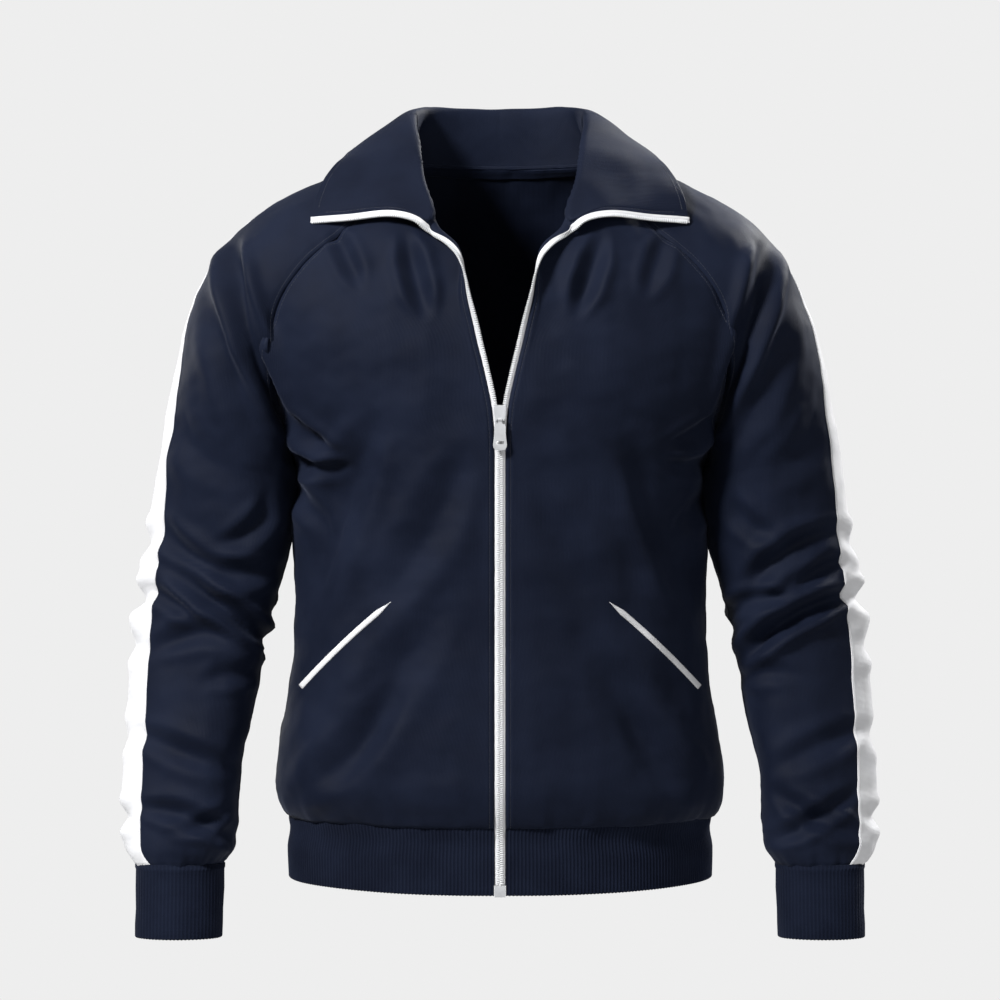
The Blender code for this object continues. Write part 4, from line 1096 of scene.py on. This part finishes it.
# Each navy pair is mixed by random patches and by painted light: painted shade in the knit's and the
# rib's valleys, and the cloth lighter near the seams, partly wear and partly a painted sheen. The white
# pair is mixed by random patches and by painted shade in the dips of its weave.
NAVY, NAVY_LIGHT = (0.0038, 0.0058, 0.0140), (0.0080, 0.0116, 0.0255)
RIB_DARK, RIB_LIGHT = (0.0030, 0.0045, 0.0112), (0.0072, 0.0104, 0.0225)
WHITE, WHITE_SHADE = (0.70, 0.70, 0.71), (0.52, 0.53, 0.56)
navy_knit = knit("navy_knit_cloth", NAVY, NAVY_LIGHT, wale=0.0012, course=0.0010, depth=0.00010)
navy_collar = knit("navy_collar_cloth", NAVY, NAVY_LIGHT, wale=0.0010, course=0.0017, depth=0.00014)
navy_rib = ribbed("navy_rib_cloth", RIB_DARK, RIB_LIGHT)
white_knit = white_cloth("white_band_cloth", WHITE_SHADE, WHITE)
white_tape = white_cloth("white_tape_cloth", WHITE_SHADE, WHITE, twill=0.0008)
navy_thread = thread("navy_thread", (0.0080, 0.0120, 0.0270))
white_thread = thread("white_thread", (0.70, 0.70, 0.72))
white_teeth = plastic("white_moulded_teeth", (0.62, 0.63, 0.64))
lacquer = lacquered("white_zip_metal", (0.44, 0.45, 0.465))


def dress(obj, material):
    obj.data.materials.clear()
    obj.data.materials.append(material)


def finish_piece(obj, material, replaced=(), body="jacket"):
    dress(obj, material)
    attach(obj, body)
    if replaced:
        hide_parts(*replaced)
    return obj


# ---- the cut pieces ----------------------------------------------------------------------------

# Where the laid-open front is eased: x, z, how far the easing reaches, and its shift in x and z
EASED = table(
    "x z reach shift_x shift_z",
    (0.0960, -0.052, 0.032, 0.0000, 0.0070),
    (0.0585, -0.060, 0.014, 0.0055, -0.0045),
    (0.0470, -0.082, 0.015, -0.0042, 0.0010),
)


def eased(points):
    """Rounds the corner where the zip passes from the front to the collar, on both sides alike."""
    moved = points.copy()
    ahead = ease(0.0, -0.04, points[..., 1])
    for x, z, reach, shift_x, shift_z in zip(*EASED.values()):
        for side in (1, -1):
            apart = np.hypot(points[..., 0] - side * x, points[..., 2] - z)
            pull = ahead * np.exp(-((apart / reach) ** 2))
            moved[..., 0] += pull * side * shift_x
            moved[..., 2] += pull * shift_z
    return moved


levels = np.concatenate([lower_levels(), upper_levels()])
front_base, back_base = body_grids(levels)
sleeve_base = sleeve_grid(sleeve_levels())
collar_base = collar_grid(back_base, sleeve_base, front_base)
front_base, back_base, sleeve_base, collar_base = map(
    eased, (front_base, back_base, sleeve_base, collar_base)
)

front_left = Panel(front_base)
back = Panel(back_base)
sleeve_left = Panel(sleeve_base, flipped=True)
collar = Panel(collar_base, flipped=True, seams="left")
front_right, sleeve_right = front_left.mirror(), sleeve_left.mirror()
share_normals([front_left, back, sleeve_left, collar, front_right, sleeve_right])
for side in (front_left, front_right):
    shape_body(side, zip_edge="left")
shape_body(back)
for side in (sleeve_left, sleeve_right):
    shape_sleeve(side)
shape_collar(collar)

cloth = {}
for name, panel, thickness in (
    ("front_left", front_left, CLOTH),
    ("front_right", front_right, CLOTH),
    ("back", back, CLOTH),
    ("sleeve_left", sleeve_left, CLOTH),
    ("sleeve_right", sleeve_right, CLOTH),
    ("collar", collar, COLLAR_CLOTH),
):
    cloth[name] = panel_object(f"{name}_cloth", panel, thickness)
    finish_piece(cloth[name], navy_collar if name == "collar" else navy_knit, [name])


# ---- the white bands ---------------------------------------------------------------------------

BAND_INSET = 0.0010      # the cut band's edge lies this far inside the CAD's
BAND_PROFILE = ((0.0, 0.00015), (0.0004, 0.00060), (0.0010, 0.00080))    # (place, height)
BAND_MIDDLE = 25         # points across between its two edges
BAND_THICK = 0.0007
BAND_STITCH = 0.0030     # from the band's edge to its stitching
BAND_TURN = 0.011        # how far the band lies behind the crown's line at the neck
CROWN_COLUMN = BAND_COLUMNS + SIDE_COLUMNS


def across_band(sleeve, row, places):
    """Points and normals at distances from the band's front edge, on one row of the sleeve."""
    span = slice(SIDE_COLUMNS, CROWN_COLUMN + BAND_COLUMNS + 16)
    line, normals = sleeve.points[row, span], sleeve.turned[row, span]
    run = lengths(line)
    turned = BAND_TURN * ease(0.24, 0.12, sleeve.distance["bottom"][row, CROWN_COLUMN])
    ups = np.stack([np.interp(places + turned, run, normals[:, k]) for k in range(3)], axis=1)
    return along(line, places + turned), unit(ups)


def band_object(name, sleeve):
    edge, height = np.array(BAND_PROFILE).T
    whole = BAND_WIDTH - 2 * BAND_INSET
    flat = np.linspace(edge[-1], whole - edge[-1], BAND_MIDDLE)
    places = BAND_INSET + np.concatenate([edge[:-1], flat, whole - edge[-2::-1]])
    lift = np.concatenate([height[:-1], np.full(BAND_MIDDLE, height[-1]), height[-2::-1]])
    rows, uvs = [], []
    for j in range(1, len(sleeve.points) - 1):
        line, ups = across_band(sleeve, j, places)
        rows.append(line + ups * lift[:, None])
        run = np.full(len(places), sleeve.distance["top"][j, CROWN_COLUMN])
        uvs.append(np.stack([places, run], axis=1))
    return grid_object(name, np.array(rows), sleeve.flipped, BAND_THICK, np.array(uvs))


for side, sleeve in (("left", sleeve_left), ("right", sleeve_right)):
    band = band_object(f"sleeve_band_{side}_cloth", sleeve)
    cloth[f"sleeve_band_{side}"] = finish_piece(band, white_knit, [f"sleeve_band_{side}"])


# ---- ribs --------------------------------------------------------------------------------------

RIB_PITCH = 0.0033
RIB_HEIGHT = 0.00042
RIB_SAMPLES = 6          # columns to a ridge
RIB_RADIUS = 0.0014      # half the thickness of the folded rib
WAIST_RIBS = 306
CUFF_RIBS = 66

# How a rib's top edge rises behind the cloth above it: (rise, how far it is sunk), top first.
SEAM_RISE = ((0.0034, 0.0018), (0.0014, 0.0010))


def rib_object(name, outer, normals, down, ribs, closed):
    """A folded rib from the rows of its outer face, top first: round its lower edge and up inside.
    Its ridges are lower on the first rows, beside the seam."""
    rows, columns = outer.shape[:2]
    phase = 2 * math.pi * ribs * np.arange(columns) / (columns if closed else columns - 1)
    wave = RIB_HEIGHT * (1 - 2 * np.abs(np.sin(phase / 2)) ** 1.4)
    settle = np.clip((np.arange(rows) + 1) / 3, 0.35, 1)[:, None]
    loop = [outer[0] - normals[0] * sunk - down * rise for rise, sunk in SEAM_RISE]
    loop += [outer[j] + normals[j] * (wave * settle[j])[:, None] for j in range(rows)]
    bottom, turn = outer[-1] - RIB_RADIUS * normals[-1], normals[-1]
    for angle in np.radians((35, 70, 110, 145)):
        size = RIB_RADIUS + wave * 0.6
        loop.append(bottom + size[:, None] * (math.cos(angle) * turn + math.sin(angle) * down))
    for j in list(range(rows - 1, -1, -3)) + [0]:
        loop.append(outer[j] - normals[j] * (2 * RIB_RADIUS + 0.5 * wave)[:, None])
    loop.append(loop[-1] - down * SEAM_RISE[0][0])
    loop = np.array(loop)
    number = numbered(loop.shape)
    if closed:
        number = np.concatenate([number, number[:, :1]], axis=1)
    number = np.concatenate([number, number[:1]], axis=0)
    faces = quads(number[::-1]).tolist()
    if not closed:
        faces += [number[:-1, 0].tolist(), number[:-1, -1].tolist()[::-1]]
    # The ridge height, 1 on the crests and 0 in the valleys. The rib's material paints shade into the
    # valleys from it.
    wear_and_painted_light = np.tile((wave / RIB_HEIGHT + 1) / 2, len(loop))
    girth = np.linspace(0, ribs * RIB_PITCH, columns)
    uv = np.stack(np.meshgrid(girth, lengths(loop[:, 0])), axis=-1)
    mesh = new_mesh(name, loop, faces, uv, wear_and_painted_light)
    turn_out(mesh)
    mesh.shade_smooth()
    return add_object(name, mesh)


def waistband_rows(heights, columns):
    rows = []
    u = np.linspace(0, 1, 240)
    for height in heights:
        front, behind = lower_row(height)
        edge = FRONT_EDGE["beyond"][0] - TAPE_WIDTH - SEAM_GAP
        flap = front[0] - np.array([edge, 0, 0])
        half = np.concatenate([[flap], bezier(front, u), bezier(behind, u)[1:]])
        whole = np.concatenate([half, mirrored(half[-2::-1])])
        rows.append(along(whole, np.linspace(0, lengths(whole)[-1], columns)))
    return np.array(rows)


def grid_normals(grid, closed):
    wide = np.concatenate([grid[:, -1:], grid, grid[:, :1]], axis=1) if closed else grid
    across = np.gradient(wide, axis=1)
    across = across[:, 1:-1] if closed else across
    return unit(np.cross(across, np.gradient(-grid, axis=0)))


def waistband_object(name):
    """The waistband, with a slow sway below its seam, where it is drawn in a little."""
    height = WAIST_SEAM - HEM_HEIGHT - RIB_RADIUS
    below = np.concatenate([[0.0, 0.0008, 0.002], np.linspace(0.0045, height, 12)])
    columns = WAIST_RIBS * RIB_SAMPLES + 1
    outer = waistband_rows(WAIST_SEAM - below, columns)
    normals = grid_normals(outer, closed=False)
    sway = 0.0012 * uneven(outer.reshape(-1, 3) * [1, 1, 0.5], 0.07, 5.2).reshape(outer.shape[:2])
    sunk = 0.0016 * np.exp(-((below / 0.0022) ** 2))
    outer = outer + normals * (sway * ease(0, 0.02, below)[:, None] - sunk[:, None])[..., None]
    return rib_object(name, outer, normals, np.tile(-UP, (columns, 1)), WAIST_RIBS, closed=False)


def cuff_rows(rows, columns):
    grid = []
    for row in rows:
        front, behind = arm_arcs(row)
        u = np.linspace(0, 1, 160)
        whole = np.concatenate([bezier(front, u)[::-1], bezier(behind, u)[1:]])
        grid.append(along(whole, np.linspace(0, lengths(whole)[-1], columns + 1)[:-1]))
    return np.array(grid)


def cuff_object(name, flip):
    columns = CUFF_RIBS * RIB_SAMPLES
    last_row = len(ARM["y"]) - 1
    at = np.concatenate([[CUFF_SEAM_ROW, 9.12, 9.4, 9.8], np.linspace(10.1, last_row, 12)])
    outer = cuff_rows(at, columns)
    down = unit(outer[-1].mean(axis=0) - outer[-6].mean(axis=0))
    outer[-1] -= down * RIB_RADIUS
    normals = -grid_normals(outer, closed=True)
    sway = 0.0008 * uneven(outer.reshape(-1, 3), 0.045, 6.3).reshape(outer.shape[:2])
    outer = outer + normals * sway[..., None]
    turn = np.array([flip, 1, 1])
    down = np.tile(down * turn, (columns, 1))
    return rib_object(name, outer * turn, normals * turn, down, CUFF_RIBS, closed=True)


cloth["waistband"] = waistband_object("waistband_rib")
finish_piece(cloth["waistband"], navy_rib, ["waistband"])
for side, flip in SIDES:
    cuff = cuff_object(f"cuff_{side}_rib", flip)
    cloth[f"cuff_{side}"] = finish_piece(cuff, navy_rib, [f"cuff_{side}"])


# ---- zip tapes and teeth -----------------------------------------------------------------------

TEETH_PITCH = 0.0020
TOOTH = (0.0017, 0.00062, 0.00105)      # half its reach across, along and through the tape
TOOTH_RINGS = ((-1.0, 0.78), (-0.6, 1.0), (0.6, 1.0), (1.0, 0.78))      # (place, size)
TOOTH_PLACE = 0.0012     # from the meeting line to the tooth's middle
TAPE_SINK = 0.0006       # the tape lies this far under the cloth's face
TAPE_THICK = 0.0007
ZIP_STEP = 0.0015        # between the tape's rows
ZIP_SMOOTHING = 12       # how often its line is averaged with its neighbours


def zip_rows():
    """Along the left zip from the hem to the collar's edge: the meeting line, the way across the
    tape, and the way its face looks."""
    rows = []
    fine = np.linspace((TAPE_FOOT - BODY["height"][-1]) / ROW_HEIGHT, levels[0], 16)[:-1]
    at = np.concatenate([fine, levels])
    fronts = body_controls(at)[0]
    for level, front in zip(at, fronts):
        beyond = beyond_fold(level)
        rows.append(eased(turned_edge(level, front, [beyond - SEAM_GAP / 2, beyond - TAPE_WIDTH])))
    away = unit(collar.base[0] - collar.base[4])
    for point, direction in zip(collar.base[0, 2:], away[2:]):
        rows.append((point + (TAPE_WIDTH + SEAM_GAP) * direction, point + SEAM_GAP * direction))
    rows = np.array(rows)
    run = lengths(rows[:, 0])
    places = np.linspace(0, run[-1], int(run[-1] / ZIP_STEP))
    rows = np.array([[np.interp(places, run, rows[:, i, k]) for k in range(3)] for i in (0, 1)])
    near, far = rows.transpose(0, 2, 1)
    for _ in range(ZIP_SMOOTHING):
        for line in (near, far):
            line[1:-1] = (line[:-2] + 2 * line[1:-1] + line[2:]) / 4
    across = unit(far - near)
    face = unit(np.cross(across, unit(np.gradient(near, axis=0))))
    return near, across, face


def tape_object(name, flip, near, across, face):
    """The tape across its width: its places from the meeting line, and how far each sinks."""
    places = np.array([0.0007, 0.0016, 0.0028, 0.0040, TAPE_WIDTH + 0.0010])
    sink = TAPE_SINK + np.array([0.0, 0.0, 0.0001, 0.0006, 0.0019])
    grid = near[:, None] + places[:, None] * across[:, None] - sink[:, None] * face[:, None]
    uv = np.stack(np.meshgrid(places, lengths(near)), axis=-1)
    return grid_object(name, grid * np.array([flip, 1, 1]), flip < 0, TAPE_THICK, uv)


def teeth_object(name, flip, near, across, face):
    run = lengths(near)
    count = int(run[-1] / TEETH_PITCH) - 1
    start = TEETH_PITCH * (0.75 if flip > 0 else 1.25)
    reach, tall, through = TOOTH
    ring = [(1, 0.45), (0.8, 0.85), (0.2, 1), (-0.7, 1), (-1, 0.6)]
    outline = np.array(ring + [(a, -b) for a, b in ring[::-1]])
    faces = rod_faces(len(TOOTH_RINGS), len(outline))
    blocks = []
    for k in range(count):
        place = start + k * TEETH_PITCH
        spot = along(near, [place - 0.0005, place, place + 0.0005])
        i = min(len(across) - 1, int(np.searchsorted(run, place)))
        run_way = unit(spot[2] - spot[0])
        side = unit(across[i] - (across[i] @ run_way) * run_way)
        out = face[i]
        centre = spot[1] + side * TOOTH_PLACE - out * (TAPE_SINK + TAPE_THICK / 2)
        rings = [
            centre + run_way * step * tall
            - side * (outline[:, :1] * reach * size)
            + out * (outline[:, 1:] * through * size)
            for step, size in TOOTH_RINGS
        ]
        blocks.append((np.concatenate(rings) * np.array([flip, 1, 1]), faces))
    return joined(name, blocks)


zip_line = zip_rows()
for side, flip in SIDES:
    tape = tape_object(f"zip_tape_{side}_cloth", flip, *zip_line)
    cloth[f"zip_tape_{side}"] = finish_piece(tape, white_tape, [f"zip_tape_{side}"])
    teeth = teeth_object(f"zip_teeth_{side}", flip, *zip_line)
    cloth[f"zip_teeth_{side}"] = finish_piece(teeth, white_teeth)


# ---- pocket welts ------------------------------------------------------------------------------

WELT_HALF = 0.0026       # half its width
WELT_POINT = 0.14        # share of its length over which its upper end narrows
WELT_RISE = 0.0013
WELT_THICK = 0.0009
WELT_LENGTH = 0.116
WELT_POINTS = 60
WELT_PLACES = (1.0, 0.9, 0.6, 0.2, -0.2, -0.6, -0.9, -1.0)     # across it, as shares of its half


def welt_object(name, panel, flip):
    """The welt, laid on the front: rays find the cloth behind it."""
    faces = quads(numbered(panel.points.shape)).tolist()
    tree = BVHTree.FromPolygons(panel.points.reshape(-1, 3).tolist(), faces)

    def on_front(x, z):
        return np.array(tree.ray_cast(Vector((flip * x, -1.0, z)), Vector((0, 1, 0)))[0])

    share = np.linspace(0, 1, WELT_POINTS)
    x = WELT_TOP[0] + (WELT_FOOT[0] - WELT_TOP[0]) * share
    z = WELT_TOP[1] + (WELT_FOOT[1] - WELT_TOP[1]) * share + WELT_BOW * 4 * share * (1 - share)
    run = unit(np.stack([np.gradient(x), 0 * x, np.gradient(z)], axis=1))
    across = unit(np.cross(run, DEEP))
    half = WELT_HALF * np.clip(share / WELT_POINT, 0.12, 1.0)
    grid, uvs = [], []
    for v in WELT_PLACES:
        lift = (0.0003 + WELT_RISE * (1 - abs(v) ** 3)) * np.clip(half / WELT_HALF, 0.4, 1)
        spots = zip(x + v * half * across[:, 0], z + v * half * across[:, 2])
        grid.append(np.array([on_front(*spot) for spot in spots]) - lift[:, None] * DEEP)
        uvs.append(np.stack([share * WELT_LENGTH, 0 * x + v * WELT_HALF], axis=1))
    grid, uvs = np.array(grid).transpose(1, 0, 2), np.array(uvs).transpose(1, 0, 2)
    return grid_object(name, grid, flip < 0, WELT_THICK, uvs)


for (side, flip), panel in zip(SIDES, (front_left, front_right)):
    welt = welt_object(f"pocket_welt_{side}_cloth", panel, flip)
    cloth[f"pocket_welt_{side}"] = finish_piece(welt, white_tape, [f"pocket_welt_{side}"])


# ---- the tape inside the neck ------------------------------------------------------------------

NECK_TAPE_PLACES = (0.0016, 0.0030, 0.0058, 0.0086, 0.0100)      # below the neck seam
NECK_TAPE_OVER = (-0.0024, -0.0004)      # the two lines above them
NECK_TAPE_RISE = 0.0030  # how far it covers the seam's upper side


def neck_tape_object(name):
    """Inside the back of the neck: it hangs from the collar's inner side and covers the seam."""
    lines = [line_at(back, "top", place) for place in NECK_TAPE_PLACES]
    grid = np.array([path - ups * (CLOTH + 0.0005) for path, ups in lines])[:, 2:-2]
    stand, ups = line_at(collar, "left", NECK_TAPE_RISE)
    stand = stand - ups * (COLLAR_CLOTH + 0.0004)
    stand = stand[stand[:, 1] > 0.02]
    stand = stand[np.argsort(stand[:, 0])]
    top = grid[0].copy()
    for k in (1, 2):
        top[:, k] = np.interp(top[:, 0], stand[:, 0], stand[:, k])
    grid = np.concatenate([[top, 0.5 * (top + grid[0])], grid])
    uv = np.stack(np.meshgrid(lengths(grid[0]), NECK_TAPE_OVER + NECK_TAPE_PLACES), axis=-1)
    return grid_object(name, grid, True, TAPE_THICK, uv)


neck_tape = neck_tape_object("neck_tape_cloth")
cloth["neck_tape"] = finish_piece(neck_tape, navy_collar, ["neck_tape"])


# ---- stitching ---------------------------------------------------------------------------------



def raglan_stitches():
    blocks = []
    for panels, edges, rows in (
        ((front_left, front_right), ["right"], slice(LOWER_ROWS + 2, -2)),
        ((back,), ["left", "right"], slice(LOWER_ROWS + 2, -2)),
        ((sleeve_left, sleeve_right), ["left", "right"], slice(2, UPPER_ROWS)),
    ):
        for panel in panels:
            for edge in edges:
                blocks += stitch_line(*line_at(panel, edge, STITCH_PLACE, rows))
    return blocks


def edge_stitches():
    """Beside the zip and the neck seam, and round the collar's free edges, on its face."""
    blocks = []
    for panel in (front_left, front_right):
        blocks += stitch_line(*line_at(panel, "left", STITCH_PLACE))
    for panel in (front_left, front_right, back):
        path, ups = line_at(panel, "top", STITCH_PLACE)
        blocks += stitch_line(path[2:-2], ups[2:-2])
    for edge, rows in (("right", slice(4, -4)), ("bottom", slice(4, -6)), ("top", slice(4, -6))):
        path, ups = line_at(collar, edge, COLLAR_STITCH, rows)
        blocks += stitch_line(path - ups * COLLAR_CLOTH, -ups)
    return blocks


def band_stitches():
    blocks = []
    for sleeve in (sleeve_left, sleeve_right):
        for place in (BAND_STITCH, BAND_WIDTH - BAND_STITCH):
            rows = range(2, len(sleeve.points) - 2)
            spots = [across_band(sleeve, j, np.array([place])) for j in rows]
            path, ups = (np.array([spot[k][0] for spot in spots]) for k in (0, 1))
            blocks += stitch_line(path + ups * BAND_PROFILE[-1][1], ups)
    return blocks


seams = finish_piece(joined("raglan_stitches", raglan_stitches()), navy_thread)
edges = finish_piece(joined("edge_stitches", edge_stitches()), navy_thread)
bands = finish_piece(joined("band_stitches", band_stitches()), white_thread)


# ---- the zip's metal ---------------------------------------------------------------------------

METAL_EDGE = 0.00028     # how far its edges are rounded


def rounded_metal(node, body):
    """The node's own shape with its flat faces joined up and its edges rounded."""
    shape = bmesh.new()
    shape.from_mesh(bpy.data.objects[node].data)
    bmesh.ops.remove_doubles(shape, verts=shape.verts[:], dist=1e-6)
    bmesh.ops.dissolve_limit(
        shape, angle_limit=math.radians(1), verts=shape.verts[:], edges=shape.edges[:]
    )
    mesh = bpy.data.meshes.new(f"{node}_metal")
    shape.to_mesh(mesh)
    shape.free()
    mesh.shade_smooth()
    piece = add_object(f"{node}_metal", mesh)
    edge = piece.modifiers.new("edge", "BEVEL")
    edge.width, edge.segments = METAL_EDGE, 3
    edge.limit_method, edge.angle_limit = "ANGLE", math.radians(12)
    edge.harden_normals = True
    apply_modifiers(piece)
    finish_piece(piece, lacquer, [node], body)


for node, body in (("zip_slider", "jacket"), ("zip_box", "jacket"), ("zip_pull", "pull_tab")):
    rounded_metal(node, body)

# ---- floor, light and camera -------------------------------------------------------------------

VIEW_WIDTH = 0.93        # metres seen across at the jacket
DISTANCE = 3.5
EYE = -0.305             # height of the camera, level with the jacket's middle
SENSOR = 36.0
FLOOR = -1.0
FLOOR_RADIUS = 1.35
BACKGROUND = 0.855
LIT = (0, 0, -0.3)       # where every light is aimed
AMBIENT = 0.22           # share of the background's brightness that lights the cloth


def add_floor():
    """A pale disc that fades out before its rim."""
    bpy.ops.mesh.primitive_circle_add(
        vertices=96, radius=FLOOR_RADIUS, fill_type="NGON", location=(0, 0, FLOOR)
    )
    floor = bpy.context.object
    floor.name = "floor"
    shader = Shader("pale_floor", (0.36, 0.36, 0.36), 0.9, Specular_IOR_Level=0.0)
    place = {0: shader.coordinates.outputs["Object"]}
    from_middle = shader.add("ShaderNodeVectorMath", place, operation="LENGTH").outputs["Value"]
    fade = shader.ramp(from_middle, 0.65, FLOOR_RADIUS - 0.01, 1.0, 0.0)
    shader.link(fade, "Alpha")
    dress(floor, shader.material)


def add_world():
    world = bpy.data.worlds.new("studio")
    bpy.context.scene.world = world
    world.use_nodes = True
    tree = world.node_tree
    node = tree.nodes["Background"]
    node.inputs["Color"].default_value = (BACKGROUND, BACKGROUND, BACKGROUND, 1)
    path = tree.nodes.new("ShaderNodeLightPath")
    strength = tree.nodes.new("ShaderNodeMapRange")
    strength.inputs["To Min"].default_value = AMBIENT
    tree.links.new(path.outputs["Is Camera Ray"], strength.inputs["Value"])
    tree.links.new(strength.outputs["Result"], node.inputs["Strength"])


def add_light(name, place, size, power):
    data = bpy.data.lights.new(name, "AREA")
    data.shape, data.size, data.energy = "DISK", size, power
    light = bpy.data.objects.new(name, data)
    light.location = place
    light.rotation_euler = (Vector(LIT) - Vector(place)).to_track_quat("-Z", "Y").to_euler()
    bpy.context.scene.collection.objects.link(light)


def add_camera():
    data = bpy.data.cameras.new("camera")
    data.sensor_width = SENSOR
    data.lens = SENSOR * DISTANCE / VIEW_WIDTH
    camera = bpy.data.objects.new("camera", data)
    camera.location = (0, -DISTANCE, EYE)
    camera.rotation_euler = (math.radians(90), 0, 0)
    bpy.context.scene.collection.objects.link(camera)
    bpy.context.scene.camera = camera


add_floor()
add_world()
add_light("key", (-2.0, -2.1, 1.7), 0.7, 205)
add_light("fill", (2.0, -2.2, 0.2), 1.6, 24)
add_light("top", (-0.3, 0.0, 2.0), 1.2, 10)
add_light("back_key", (2.1, 2.0, 1.6), 0.8, 170)
add_light("back_fill", (-2.0, 2.2, 0.2), 1.6, 26)
add_camera()
bpy.context.scene.view_settings.view_transform = "Standard"
